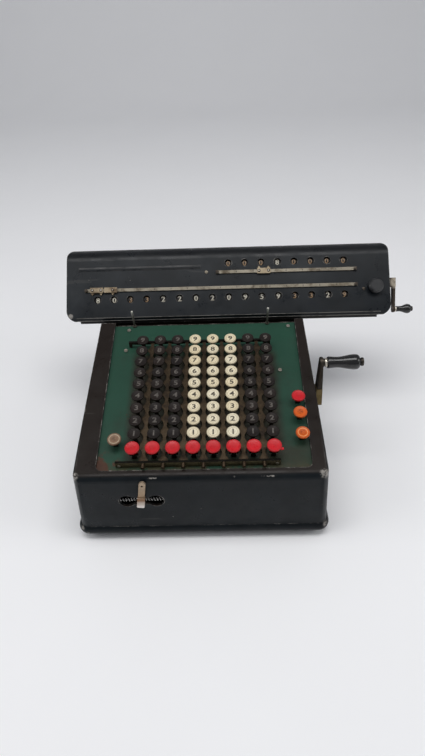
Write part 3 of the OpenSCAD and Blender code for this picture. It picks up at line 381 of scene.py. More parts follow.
def banded(name, bands, direction, rough=0.34):
    """Metal whose tone changes along a direction: bands are (distance in millimetres, colour)."""
    s = Shader(name)
    tone = bands[0][1]
    for (start, _), (end, colour) in zip(bands, bands[1:]):
        tone = s.mix(s.along(direction, start, end), tone, colour)
    stain = s.fade(s.noise(150, 7, 0.7), 0.45, 0.75, 0.0, 0.6)
    s.set(Base_Color=s.mix(stain, tone, s.mix(0.45, tone, (0.03, 0.02, 0.012))))
    s.set(Metallic=s.fade(stain, 0.0, 0.6, 0.85, 0.6))
    s.set(Roughness=s.fade(s.noise(220, 5), 0.25, 0.75, rough - 0.06, rough + 0.18))
    s.bump(s.noise(600, 4), 0.14, 0.08)
    return s.material


def celluloid(name, colour, soiled, rough, dirt, centre, gloss=0.35):
    """Key top, a little uneven in colour, with grime towards its rim and in its pressed middle."""
    s = Shader(name)
    ground = s.mix(s.fade(s.noise(180, 4), 0.3, 0.7), colour, [c * 0.86 for c in colour])
    per_key = s.mix(s.attribute("shade"), ground, soiled)
    out = s.attribute("rim")
    gathered = s.fade(s.noise(420, 5, 0.7), 0.3, 0.65, 0.25, dirt)
    rim = s.math("MULTIPLY", s.fade(out, 0.62, 1.0), gathered)
    smear = s.math("MULTIPLY", s.fade(s.noise(150, 6, 0.7, seed=8.0), 0.55, 0.75), 0.45 * dirt)
    pressed = s.fade(s.noise(520, 4, 0.7, seed=4.0), 0.35, 0.6, 0.0, centre)
    middle = s.math("MULTIPLY", s.fade(out, 0.6, 0.2), pressed)
    soil = s.math("MAXIMUM", s.math("MAXIMUM", rim, smear), middle)
    s.set(Base_Color=s.mix(soil, per_key, [c * 0.42 for c in soiled]))
    s.set(Roughness=s.fade(s.noise(260, 5, seed=2.0), 0.3, 0.7, rough - 0.06, rough + 0.16))
    s.set(Specular_IOR_Level=gloss)
    s.bump(s.noise(900, 3), 0.08, 0.05)
    return s.material


def polished(name, colour, rough=0.14):
    """Polished black grip or knob with faint scratches."""
    s = Shader(name)
    worn = s.fade(s.noise(110, 7, 0.7), 0.55, 0.8, 0.0, 0.5)
    s.set(Base_Color=s.mix(worn, colour, (0.035, 0.033, 0.03)))
    s.set(Roughness=s.fade(s.noise(300, 5, stretch=(0.3, 1, 1)), 0.3, 0.75, rough, rough + 0.2))
    s.set(Coat_Weight=0.3, Coat_Roughness=0.1)
    s.bump(s.noise(600, 3), 0.05, 0.05)
    return s.material


def figure_paint(name, colour, faded, loss):
    """Paint of the figures, thinned in patches."""
    s = Shader(name)
    s.set(Base_Color=s.mix(s.fade(s.noise(520, 5, 0.7), 0.42, 0.68, 0.0, loss), colour, faded))
    s.set(Roughness=s.fade(s.noise(400, 3), 0.3, 0.7, 0.42, 0.62))
    return s.material


def rubber(name):
    """Dull rubber of the feet."""
    s = Shader(name)
    s.set(Base_Color=s.mix(s.noise(90, 6), (0.012, 0.012, 0.012), (0.04, 0.037, 0.034)))
    s.set(Roughness=s.fade(s.noise(200, 4), 0.3, 0.7, 0.6, 0.85))
    s.bump(s.noise(800, 3), 0.2, 0.1)
    return s.material


CASE = japan(
    "case_japan", (0.0046, 0.0066, 0.0082), (0.0125, 0.0092, 0.0076), 1.0, 0.34,
    places=(
        ((-119, -134, 92), 7), ((118, -135, 92), 10), ((-121, -60, 108), 6),
        ((126, -139, 18), 8), ((-125, -139, 18), 6)),
    lines=((-136.6, 91.4, 2.2, 0.42), (-140.4, 13.0, 3.0, 0.3)), shine=0.15)
CARRIAGE_BLACK = (0.0042, 0.0058, 0.0076)
CARRIAGE_TOP = (0.0046, 0.0052, 0.0064)
# The carriage gets painted reflection: lighter bluish patches on its face.
CARRIAGE = japan(
    "carriage_japan", CARRIAGE_BLACK, CARRIAGE_TOP, 0.7, 0.34,
    places=(((-152, 66, 140), 5),), lines=((63.5, 134.2, 1.2, 0.5),),
    painted_sheen=(((-85, 94, 168), 55), ((-10, 92, 166), 40), ((120, 96, 170), 40), ((-150, 84, 158), 42)))
CREASE = japan("crease_japan", CARRIAGE_BLACK, CARRIAGE_TOP, 0.0, 0.34)
BASE = japan("base_paint", (0.012, 0.0115, 0.011), None, 0.5, 0.5)
GREEN = green_paint("keyboard_green")
STEEL = plated("oiled_steel", (0.4, 0.39, 0.37), (0.13, 0.1, 0.075), 0.45, 0.36, (1, 0.12, 0.12))
DARK_STEEL = plated("blued_steel", (0.07, 0.06, 0.05), (0.03, 0.02, 0.013), 0.6, 0.42)
NICKEL = plated("worn_nickel", (0.62, 0.57, 0.5), (0.2, 0.14, 0.085), 0.4, 0.28, (0.12, 1, 1))
RAIL_NICKEL = plated("rail_nickel", (0.25, 0.225, 0.18), (0.09, 0.07, 0.045), 0.55, 0.42, (0.1, 1, 1))
POINTER_NICKEL = plated("pointer_nickel", (0.3, 0.245, 0.17), (0.085, 0.05, 0.026), 0.65, 0.42)
POST_NICKEL = banded(
    "post_nickel", ((132, (0.1, 0.09, 0.075)), (146, (0.22, 0.2, 0.18)), (156, (0.8, 0.78, 0.72))),
    (0, 0, 1), 0.5)
shaft_low, shaft_high = box_mm("clear_shaft")
CLEAR_HUB = (shaft_high.x, (shaft_low.y + shaft_high.y) / 2, (shaft_low.z + shaft_high.z) / 2)
CLEAR_ARM = plated("clearing_arm", (0.66, 0.58, 0.46), (0.06, 0.047, 0.036), 0.3, 0.36, None, (CLEAR_HUB, 13))
FERRULE = plated("ferrule", (0.8, 0.74, 0.64), (0.42, 0.34, 0.25), 0.3, 0.36)
WORN_EDGE = plated("worn_edge", (0.16, 0.155, 0.145), (0.03, 0.029, 0.027), 0.5, 0.45, (0.2, 1, 1))
SPRING_STEEL = plated("spring_steel", (0.85, 0.83, 0.8), (0.5, 0.45, 0.4), 0.2, 0.25)
BRONZE = plated("marker_bronze", (0.085, 0.062, 0.04), (0.018, 0.011, 0.007), 0.65, 0.4)
FRONT_OF_PLATE = ((0, -130, 90), 170)
KHAKI = plated(
    "bar_bronze", (0.17, 0.145, 0.08), (0.03, 0.02, 0.012), 0.5, 0.6, None, FRONT_OF_PLATE,
    (0.012, 0.011, 0.009))
BRASS = plated("gear_brass", (0.55, 0.4, 0.17), (0.2, 0.13, 0.05), 0.4, 0.34)
HUB_BRASS = plated("hub_brass", (0.22, 0.165, 0.08), (0.075, 0.055, 0.026), 0.6, 0.42)
CREAM = celluloid("cream_celluloid", (0.86, 0.79, 0.6), (0.72, 0.58, 0.34), 0.34, 0.5, 0.3)
BLACK_KEY = celluloid(
    "black_celluloid", (0.0125, 0.0095, 0.0085), (0.022, 0.015, 0.012), 0.42, 0.5, 0.0, 0.16)
RED = celluloid("red_celluloid", (0.62, 0.012, 0.02), (0.47, 0.01, 0.016), 0.3, 0.4, 0.25, 0.3)
ORANGE = celluloid("orange_celluloid", (0.68, 0.12, 0.012), (0.56, 0.085, 0.01), 0.3, 0.4, 0.9, 0.3)
TAN = celluloid("tan_celluloid", (0.26, 0.16, 0.1), (0.2, 0.12, 0.075), 0.46, 0.5, 0.7, 0.25)
PALE_RIM = figure_paint("pale_rim", (0.85, 0.42, 0.16), (0.7, 0.16, 0.03), 0.6)
TAN_RIM = figure_paint("tan_rim", (0.42, 0.34, 0.23), (0.26, 0.17, 0.1), 0.7)
RING_INK = figure_paint("key_rings", (0.3, 0.22, 0.12), (0.66, 0.55, 0.36), 0.6)
GRIP = polished("black_grip", (0.0045, 0.0045, 0.0045))
KNOB = polished("black_knob", (0.005, 0.0056, 0.0068), 0.36)
RUBBER = rubber("foot_rubber")
DIAL = japan("dial_enamel", (0.008, 0.007, 0.0065), None, 0.4, 0.42)
INK = figure_paint("black_figures", (0.022, 0.018, 0.015), (0.32, 0.25, 0.15), 0.45)
PALE_INK = figure_paint("pale_figures", (0.105, 0.09, 0.077), (0.026, 0.021, 0.018), 0.9)
DIAL_INK = figure_paint("dial_figures", (0.6, 0.57, 0.48), (0.24, 0.18, 0.1), 0.7)
BROWN_INK = figure_paint("browned_figures", (0.3, 0.19, 0.1), (0.1, 0.05, 0.025), 0.7)
TICK = figure_paint("rail_marks", (0.012, 0.01, 0.008), (0.06, 0.045, 0.03), 0.5)
LEVER = banded("lever_nickel", (
    (55, (0.78, 0.72, 0.68)), (62, (0.5, 0.42, 0.36)), (67, (0.22, 0.12, 0.065)),
    (72, (0.34, 0.24, 0.155)), (90, (0.4, 0.31, 0.22))), (0, 0, 1))


# Meshes

# Angles between two faces, in degrees: from these on an edge is shaded sharp, or gets a bevel
FORM_SHARP = 35.0
REFINED_SHARP = 40.0
BEVELLED = 34.0
# Faces that differ by less, in degrees, are joined, and so are points that are closer, in millimetres
FLAT = 0.4
WELD = 0.002


class Form:
    """Collects parts of one piece: vertices, faces, materials and the values that the key finish reads."""

    def __init__(self, *materials):
        self.materials = materials
        self.points = []
        self.faces = []
        self.kinds = []
        self.shade = []
        self.rim = []

    def add(self, points, faces, matrix, kind=0, shade=0.0, rim=None):
        """Adds one part, placed by a matrix, in the material with the number kind."""
        first = len(self.points)
        self.points += [matrix @ Vector(p) for p in points]
        self.faces += [tuple(first + i for i in f) for f in faces]
        self.kinds += [kind] * len(faces)
        self.shade += [shade] * len(points)
        self.rim += rim or [0.0] * len(points)
        return self

    def build(self, name, body, slot):
        """Makes the collected parts one piece."""
        mesh = bpy.data.meshes.new(name)
        mesh.from_pydata(self.points, [], self.faces)
        for material in self.materials:
            mesh.materials.append(material)
        mesh.polygons.foreach_set("material_index", self.kinds)
        for key, values in (("shade", self.shade), ("rim", self.rim)):
            mesh.attributes.new(key, "FLOAT", "POINT").data.foreach_set("value", values)
        tidy(mesh, FORM_SHARP)
        return piece(name, mesh, body)


def tidy(mesh, sharp):
    """Faces outward, smooth shading except on edges sharper than the given angle."""
    bm = bmesh.new()
    bm.from_mesh(mesh)
    bmesh.ops.recalc_face_normals(bm, faces=bm.faces)
    for edge in bm.edges:
        edge.smooth = len(edge.link_faces) == 2 and edge.calc_face_angle(0) < math.radians(sharp)
    for face in bm.faces:
        face.smooth = True
    bm.to_mesh(mesh)
    bm.free()


def piece(name, mesh, body):
    """A new object that rides on a body."""
    obj = bpy.data.objects.new(name, mesh)
    scene.collection.objects.link(obj)
    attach(obj, body)
    return obj


def lathe(profile, segments=40):
    """Points and faces of a turned form; profile is (radius, height) from one end to the other."""
    points, rings = [], []
    for r, z in profile:
        if r < 1e-6:
            rings.append([len(points)])
            points.append((0, 0, z))
            continue
        rings.append(list(range(len(points), len(points) + segments)))
        turn = [2 * math.pi * k / segments for k in range(segments)]
        points += [(r * math.cos(a), r * math.sin(a), z) for a in turn]
    faces = []
    for low, high in zip(rings, rings[1:]):
        for k in range(segments):
            n = (k + 1) % segments
            if len(low) == 1 and len(high) == 1:
                break
            if len(low) == 1:
                faces.append((low[0], high[k], high[n]))
            elif len(high) == 1:
                faces.append((low[k], low[n], high[0]))
            else:
                faces.append((low[k], low[n], high[n], high[k]))
    return points, faces


def block(size, centre, round_off=0.15):
    """Points and faces of a box with bevelled edges."""
    bm = bmesh.new()
    bmesh.ops.create_cube(bm, size=1.0)
    for v in bm.verts:
        v.co = Vector(c + s * x for c, s, x in zip(centre, size, v.co))
    bmesh.ops.bevel(bm, geom=bm.edges[:], offset=round_off, segments=2, affect="EDGES", clamp_overlap=True)
    points = [v.co.copy() for v in bm.verts]
    faces = [[v.index for v in f.verts] for f in bm.faces]
    bm.free()
    return points, faces


def refine(node, material, bevel):
    """A CAD node's own shape with its sharp edges rounded, in a node material."""
    source = frame["nodes"][node]
    bm = bmesh.new()
    bm.from_mesh(source.data)
    bmesh.ops.remove_doubles(bm, verts=bm.verts, dist=WELD * MM)
    bmesh.ops.dissolve_limit(bm, angle_limit=math.radians(FLAT), verts=bm.verts, edges=bm.edges)
    sharp = [e for e in bm.edges if len(e.link_faces) == 2 and e.calc_face_angle(0) > math.radians(BEVELLED)]
    bmesh.ops.bevel(bm, geom=sharp, offset=bevel * MM, segments=2, affect="EDGES", clamp_overlap=True)
    mesh = bpy.data.meshes.new(node + "_finished")
    bm.to_mesh(mesh)
    bm.free()
    mesh.materials.append(material)
    for polygon in mesh.polygons:
        polygon.material_index = 0
    tidy(mesh, REFINED_SHARP)
    obj = piece(mesh.name, mesh, source["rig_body"])
    normals = obj.modifiers.new("face_weights", "WEIGHTED_NORMAL")
    normals.keep_sharp = True
    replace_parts(obj, node)


def paint(node, material):
    """Gives a CAD node that keeps its own mesh a node material."""
    mesh = frame["nodes"][node].data
    mesh.materials.clear()
    mesh.materials.append(material)


# Figures


def glyph_shapes():
    """Flat meshes of the ten figures, one unit high and centred."""
    shapes = {}
    for character in "0123456789":
        curve = bpy.data.curves.new("figure_" + character, "FONT")
        curve.body = character
        curve.resolution_u = 4
        curve.offset = 0.022
        obj = bpy.data.objects.new(curve.name, curve)
        scene.collection.objects.link(obj)
        mesh = bpy.data.meshes.new_from_object(obj.evaluated_get(bpy.context.evaluated_depsgraph_get()))
        low = Vector(min(v.co[k] for v in mesh.vertices) for k in range(3))
        high = Vector(max(v.co[k] for v in mesh.vertices) for k in range(3))
        middle = (low + high) / 2
        scale = 1 / (high.y - low.y)
        points = [(v.co - middle) * scale for v in mesh.vertices]
        shapes[character] = points, [tuple(p.vertices) for p in mesh.polygons]
        bpy.data.objects.remove(obj)
        bpy.data.curves.remove(curve)
        bpy.data.meshes.remove(mesh)
    return shapes


GLYPHS = glyph_shapes()


def figure(character, height, thickness, widen):
    """Points and faces of a raised figure lying in XY, its face at z = thickness."""
    flat, faces = GLYPHS[character]
    n = len(flat)
    low = [(p.x * height * widen, p.y * height, 0) for p in flat]
    high = [(x, y, thickness) for x, y, _ in low]
    walked = {(a, b): True for face in faces for a, b in zip(face, face[1:] + face[:1])}
    sides = [(a, b, b + n, a + n) for a, b in walked if (b, a) not in walked]
    over = [tuple(i + n for i in f) for f in faces]
    under = [tuple(reversed(f)) for f in faces]
    return low + high, over + under + sides


# Keys, with sizes in millimetres

CAP_DISH = 0.3
FIGURE_SEAT = KEY_CAP_H - CAP_DISH
KEY_FIGURE_H = 5.8
FIGURE_RISE = 0.05
KEY_FIGURE_WIDEN = 1.2
# Printed rings on key tops: radius and width
CREAM_RING = (4.2, 0.3)
ORANGE_RING = (4.5, 0.55)
TAN_RING = (5.0, 0.8)
# Flat blade under a clearing key, its bright edges, and the catch beside the last one
BLADE_W = 8.6
BLADE_T = 0.9
BLADE_FOOT = -12.0
BLADE_OVERLAP = 0.1
BLADE_EDGE = (0.5, 1.1)
BLADE_EDGE_OUT = 4.4
CATCH = (3.4, 2.6, 1.6)
CATCH_AT = (6.9, -3.2, -2.2)


def cap_profile(d):
    """Half outline of a key top with a rounded rim and a dish."""
    r, h = d / 2, KEY_CAP_H
    return [
        (0, 0), (r - 0.9, 0), (r - 0.3, 0.2), (r - 0.05, 0.6), (r, 1.0),
        (r, h - 0.75), (r - 0.08, h - 0.38), (r - 0.3, h - 0.1), (r - 0.6, h), (r - 0.85, h - 0.06),
        (r - 1.1, h - 0.22), (r - 1.35, h - CAP_DISH), (0, h - CAP_DISH)]


def add_key(form, x, u, d, top, shade):
    """A key top and its flat stem at a place on the deck; top is the height of the key's upper side."""
    points, faces = lathe(cap_profile(d))
    rim = [min(1.0, math.hypot(p[0], p[1]) / (d / 2)) for p in points]
    form.add(points, faces, ON_DECK @ Matrix.Translation((x, u, top - KEY_CAP_H)), 0, shade, rim)
    length = STEM_REACH + top - KEY_CAP_H
    form.add(*block((STEM_W, STEM_T, length), (x, u, -STEM_REACH + length / 2), 0.2), ON_DECK, 1)


def add_ring(form, r, w, matrix, kind):
    """A thin printed ring on a key top."""
    inner, outer = r - w / 2, r + w / 2
    outline = [(inner, 0), (inner, FIGURE_RISE), (outer, FIGURE_RISE), (outer, 0)]
    form.add(*lathe(outline, 48), matrix, kind)


def digit_column(i, dice):
    """Nine keys of a column with their raised figures."""
    pale = 3 <= i <= 5
    node = f"digit_keys_{i + 1}"
    slot = "key_cream" if pale else "key_black"
    caps = Form(CREAM if pale else BLACK_KEY, DARK_STEEL)
    figures = Form(INK if pale else PALE_INK, RING_INK)
    for j in range(ROWS):
        u = j * ROW_PITCH
        add_key(caps, column_x(i), u, KEY_D, 0.0, dice.uniform(0.0, 0.55 if pale else 0.7))
        seat = ON_DECK @ Matrix.Translation((column_x(i), u, FIGURE_SEAT - KEY_CAP_H))
        figures.add(*figure(str(j + 1), KEY_FIGURE_H, FIGURE_RISE, KEY_FIGURE_WIDEN), seat)
        if pale:
            add_ring(figures, *CREAM_RING, seat, 1)
    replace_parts(caps.build(node + "_caps", node, slot), node)
    figures.build(node + "_figures", node, slot)


def clear_key(i, dice):
    """A clearing key on a flat blade; the last one has a small catch."""
    node = f"clear_key_{i + 1}"
    form = Form(RED, DARK_STEEL, STEEL)
    x, u = column_x(i), -CLEAR_KEY_AHEAD
    add_key(form, x, u, CLEAR_KEY_D, CLEAR_KEY_LIFT, dice.uniform(0.0, 0.6))
    blade_top = CLEAR_KEY_LIFT - KEY_CAP_H + BLADE_OVERLAP
    middle, length = (blade_top + BLADE_FOOT) / 2, blade_top - BLADE_FOOT
    form.add(*block((BLADE_W, BLADE_T, length), (x, u, middle)), ON_DECK, 1)
    for side in (-1, 1):
        form.add(*block((*BLADE_EDGE, length), (x + side * BLADE_EDGE_OUT, u, middle)), ON_DECK, 2)
    if i == COLUMNS - 1:
        right, ahead, down = CATCH_AT
        form.add(*block(CATCH, (x + right, u + ahead, CLEAR_KEY_LIFT + down), 0.4), ON_DECK)
    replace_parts(form.build(node + "_cap", node, "key_red"), node)


def function_key(node, at, material, slot, dice):
    """A single key at the side of the columns."""
    form = Form(material, DARK_STEEL, TAN_RIM if node == "tan_key" else PALE_RIM)
    add_key(form, *at, FUNCTION_KEY_D, -FUNCTION_KEY_DROP, dice.uniform(0.1, 0.4))
    seat = ON_DECK @ Matrix.Translation((*at, FIGURE_SEAT - KEY_CAP_H - FUNCTION_KEY_DROP))
    if node == "front_orange_key":
        add_ring(form, *ORANGE_RING, seat, 2)
    if node == "tan_key":
        add_ring(form, *TAN_RING, seat, 2)
    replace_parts(form.build(node + "_cap", node, slot), node)


dice = random.Random(11)
for i in range(COLUMNS):
    digit_column(i, dice)
    clear_key(i, dice)
for node, at, material, slot in (
    ("red_key", (FUNCTION_KEY_X, RED_KEY_U), RED, "key_red"),
    ("rear_orange_key", (FUNCTION_KEY_X, REAR_ORANGE_KEY_U), ORANGE, "key_orange"),
    ("front_orange_key", (FUNCTION_KEY_X, FRONT_ORANGE_KEY_U), ORANGE, "key_orange"),
    ("tan_key", TAN_KEY_AT, TAN, "key_tan"),
):
    function_key(node, at, material, slot, dice)


# Number dials

LOWER_NUMBER = "8033220209593329"
UPPER_NUMBER = "00080000"
LOWER_BROWNED = (2, 3, 12, 13, 15)
UPPER_BROWNED = (0, 1, 2, 4, 5, 6, 7)
DIAL_FIGURE_H = 6.2
DIAL_FIGURE_RISE = 0.04
DIAL_FIGURE_WIDEN = 1.05
DIAL_SEAT_GAP = 0.005


def dial_figures(node, first, shown, browned, t):
    """Ten figures round each dial; the shown one faces its window."""
    form = Form(DIAL_INK, BROWN_INK)
    axis = ON_FACE @ Matrix.Translation((0, t, -DIAL_DEPTH))
    for k, character in enumerate(shown):
        for step in range(10):
            digit = str((int(character) + step) % 10)
            points, faces = figure(digit, DIAL_FIGURE_H, DIAL_FIGURE_RISE, DIAL_FIGURE_WIDEN)
            turn = math.radians(36 * step)
            bent = []
            for x, y, z in points:
                a = y / DIAL_R + turn
                r = DIAL_R + DIAL_SEAT_GAP + z
                bent.append(((first + k) * COLUMN_PITCH + x, r * math.sin(a), r * math.cos(a)))
            form.add(bent, faces, axis, int(k in browned))
    form.build(node + "_figures", node, "dial_black")


dial_figures("lower_dials", 0, LOWER_NUMBER, LOWER_BROWNED, LOWER_WINDOW_T)
dial_figures("upper_dials", FIRST_UPPER_DIAL, UPPER_NUMBER, UPPER_BROWNED, UPPER_WINDOW_T)


# Crank grips and spring

# Half outlines of the grips: share of the length, share of the largest radius
GRIP_SHAPE = (
    (0.0, 0.68), (0.02, 0.76), (0.06, 0.78), (0.15, 0.75), (0.28, 0.71), (0.4, 0.74), (0.52, 0.83),
    (0.64, 0.93), (0.75, 0.99), (0.83, 1.0), (0.89, 0.96), (0.93, 0.87), (0.955, 0.74), (0.965, 0.6))
BULB_SHAPE = (
    (0.0, 0.52), (0.03, 0.58), (0.12, 0.57), (0.26, 0.57), (0.4, 0.67), (0.54, 0.85), (0.66, 0.97),
    (0.75, 1.0), (0.84, 0.95), (0.91, 0.82), (0.955, 0.66), (0.965, 0.6))
# The end button and the ferrule: share of the largest radius, share of the length
BUTTON = ((0.42, 0.97), (0.5, 0.975), (0.53, 0.985), (0.5, 0.997), (0.4, 1.0), (0, 1.0))
COLLAR = ((0, 0), (0.5, 0), (0.56, 0.01), (0.58, 0.03), (0.58, 0.06), (0.52, 0.08), (0.4, 0.085), (0, 0.085))
GRIP_NECK = 0.075
GRIP_D = 16.0
BULB_D = 10.9
SPRING_WIRE_R = 0.4
SPRING_TURNS = 18


def smooth_curve(points, parts):
    """Points of a smooth curve through the given ones."""
    ends = [points[0], *points, points[-1]]
    made = []
    for a, b, c, d in zip(ends, ends[1:], ends[2:], ends[3:]):
        for k in range(parts):
            t = k / parts
            made.append(tuple(
                0.5 * (2 * q + (r - p) * t + (2 * p - 5 * q + 4 * r - w) * t ** 2
                       + (3 * q - p - 3 * r + w) * t ** 3)
                for p, q, r, w in zip(a, b, c, d)))
    return made + [points[-1]]


def turned_grip(node, name, body, d, shape):
    """A turned grip with a plated ferrule and an end button, in the place of its CAD node along X."""
    low, high = box_mm(node)
    length = high.x - low.x
    matrix = IN_MODEL @ Matrix.Translation((low.x, (low.y + high.y) / 2, (low.z + high.z) / 2))
    matrix = matrix @ Matrix.Rotation(math.radians(90), 4, "Y")
    side = [(r * d / 2, (GRIP_NECK + z * (1 - GRIP_NECK)) * length) for z, r in smooth_curve(shape, 4)]
    profile = [(0, side[0][1])] + side + [(r * d / 2, z * length) for r, z in BUTTON]
    form = Form(GRIP, FERRULE).add(*lathe(profile, 56), matrix)
    form.add(*lathe([(r * d / 2, z * length) for r, z in COLLAR], 48), matrix, 1)
    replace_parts(form.build(name, body, "handle_black"), node)


turned_grip("crank_handle", "crank_grip", "main_handle", GRIP_D, GRIP_SHAPE)
turned_grip("clear_handle", "clear_grip_turned", "clear_grip", BULB_D, BULB_SHAPE)


def coil():
    """The centring spring as one round wire."""
    low, high = box_mm("shift_spring")
    wire, turns, around, sides = SPRING_WIRE_R, SPRING_TURNS, 20, 10
    middle = (low + high) / 2
    r = (high.z - low.z) / 2 - wire
    start, length = low.x + wire, high.x - low.x - 2 * wire
    points, faces = [], []
    for k in range(turns * around + 1):
        a = 2 * math.pi * k / around
        out = Vector((0, math.cos(a), math.sin(a)))
        centre = Vector((start + length * k / (turns * around), middle.y, middle.z)) + out * r
        for s in range(sides):
            b = 2 * math.pi * s / sides
            points.append(centre + wire * (math.cos(b) * out + math.sin(b) * Vector((1, 0, 0))))
    for k in range(turns * around):
        for s in range(sides):
            n = (s + 1) % sides
            faces.append((k * sides + s, (k + 1) * sides + s, (k + 1) * sides + n, k * sides + n))
    faces.append(tuple(range(sides)))
    faces.append(tuple(reversed(range(turns * around * sides, (turns * around + 1) * sides))))
    form = Form(SPRING_STEEL).add(points, faces, IN_MODEL)
    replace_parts(form.build("centring_spring", "machine", "spring_steel"), "shift_spring")


coil()


# Pieces that keep their CAD form: the first ones with rounded edges, the rest only given a material

for node, material, bevel in (
    ("case_shell", CASE, 0.5), ("carriage_cover", CARRIAGE, 0.35), ("base_pan", BASE, 0.4),
    ("keyboard_plate", GREEN, 0.25), ("marker_bars", KHAKI, 0.3), ("carriage_tracks", DARK_STEEL, 0.4),
    ("carriage_frame", BASE, 0.4), ("guide_posts", POST_NICKEL, 0.4), ("case_screws", NICKEL, 0.15),
    ("crank_hub", HUB_BRASS, 0.5), ("crank_arm", DARK_STEEL, 0.5), ("shift_lever", LEVER, 0.7),
    ("decimal_rails", RAIL_NICKEL, 0.25), ("lower_pointers", POINTER_NICKEL, 0.2),
    ("upper_pointer", POINTER_NICKEL, 0.2), ("carriage_knob", KNOB, 0.5), ("clear_crank_arm", CLEAR_ARM, 0.5),
    ("rubber_feet", RUBBER, 0.6),
    *((f"decimal_marker_{i + 1}", BRONZE, 0.2) for i in range(COLUMNS - 1)),
):
    refine(node, material, bevel)

for node, material in (
    ("key_guide_plate", STEEL), ("side_frames", STEEL), ("frame_tie_rods", STEEL), ("crank_shaft", STEEL),
    ("drive_gear", BRASS), ("drum_gear", BRASS), ("drum_shaft", STEEL), ("stepped_drums", STEEL),
    ("dial_shafts", STEEL), ("lower_dials", DIAL), ("upper_dials", DIAL), ("clear_shaft", STEEL),
):
    paint(node, material)


# Small fittings, with sizes in millimetres

MARK_W = 0.7
MARK_T = 0.06
MARK_SHARE = 0.55
MARK_LIFT = 0.02
SCREW_R = 1.9
SCREW_H = 0.7
RAIL_SCREW_R = 1.95
RAIL_SCREW_H = 0.5
RAIL_SCREW_RISE = 0.85
FACE_SCREW_LEFT = 25.5
FACE_SCREW_UP = 0.6
KNOB_SCREW_RIGHT = 22.0
KNOB_SCREW_DOWN = 5.5
BAR_SCREW_R = 1.7
BAR_SCREW_H = 0.6
BAR_SCREW_INSET = 3.2
BAR_SCREW_RISE = 3.4
EDGE_R = 0.5
EDGE_INSET = 12
EDGE_RISE = 0.6
CREASE_HALF_W = 2.6
CREASE_H = 0.32
CREASE_SUNK = 0.02
CREASE_INSET = 14
CREASE_SHORT = 32
POINTER_T = 1.0
POINTER_GAP = 0.3
# Half outlines of a pointer's washer and rivet
WASHER = ((0, 0), (1.75, 0), (1.75, 0.12), (1.6, 0.2), (0, 0.2))
RIVET = ((0, 0), (0.85, 0), (0.85, 0.35), (0.6, 0.55), (0, 0.6))
LOWER_RIVETS = (-5.6, 4.4, 18.1)
UPPER_POINTER_X = 10.15 * COLUMN_PITCH
UPPER_RIVET_OUT = 5.4


def rail_marks():
    """Dark marks between the places on both decimal rails."""
    form = Form(TICK)
    for first, t in ((0, LOWER_RAIL_T), (FIRST_UPPER_DIAL, UPPER_RAIL_T)):
        for k in range(first, LOWER_DIALS - 1):
            x = (k + 0.5) * COLUMN_PITCH
            form.add(*block((MARK_W, RAIL_W * MARK_SHARE, MARK_T), (x, t, RAIL_T + MARK_LIFT), 0.01), ON_FACE)
    form.build("rail_marks", "carriage", "nickel")


rail_marks()


def slotted_screw(form, matrix, r, h, turn, kind=0):
    """A round screw head with an open slot: a low disc and two halves above it."""
    matrix = matrix @ Matrix.Rotation(math.radians(turn), 4, "Z")
    form.add(*lathe([(0, 0), (r, 0), (r, 0.55 * h), (0, 0.55 * h)], 28), matrix, kind)
    slot, steps = 0.17 * r, 12
    start = math.asin(slot / r)
    for side in (1, -1):
        rim = [start + (math.pi - 2 * start) * k / steps for k in range(steps + 1)]
        flat = [(r * math.cos(a), side * r * math.sin(a)) for a in rim]
        inner = [(0.86 * x, side * max(slot, 0.86 * abs(y))) for x, y in flat]
        n = steps + 1
        rings = ((flat, 0.5 * h), (flat, 0.85 * h), (inner, h))
        points = [(x, y, z) for ring, z in rings for x, y in ring]
        faces = [tuple(range(2 * n, 3 * n)), tuple(reversed(range(n)))]
        for k in range(n):
            m = (k + 1) % n
            faces += [(k, m, n + m, n + k), (n + k, n + m, 2 * n + m, 2 * n + k)]
        form.add(points, faces, matrix, kind)


def bar(outline, start, end):
    """Points and faces of an outline in YZ, drawn out along X."""
    n = len(outline)
    points = [(x, y, z) for x in (start, end) for y, z in outline]
    faces = [(k, (k + 1) % n, n + (k + 1) % n, n + k) for k in range(n)]
    return points, faces + [tuple(range(n)), tuple(reversed(range(n, 2 * n)))]


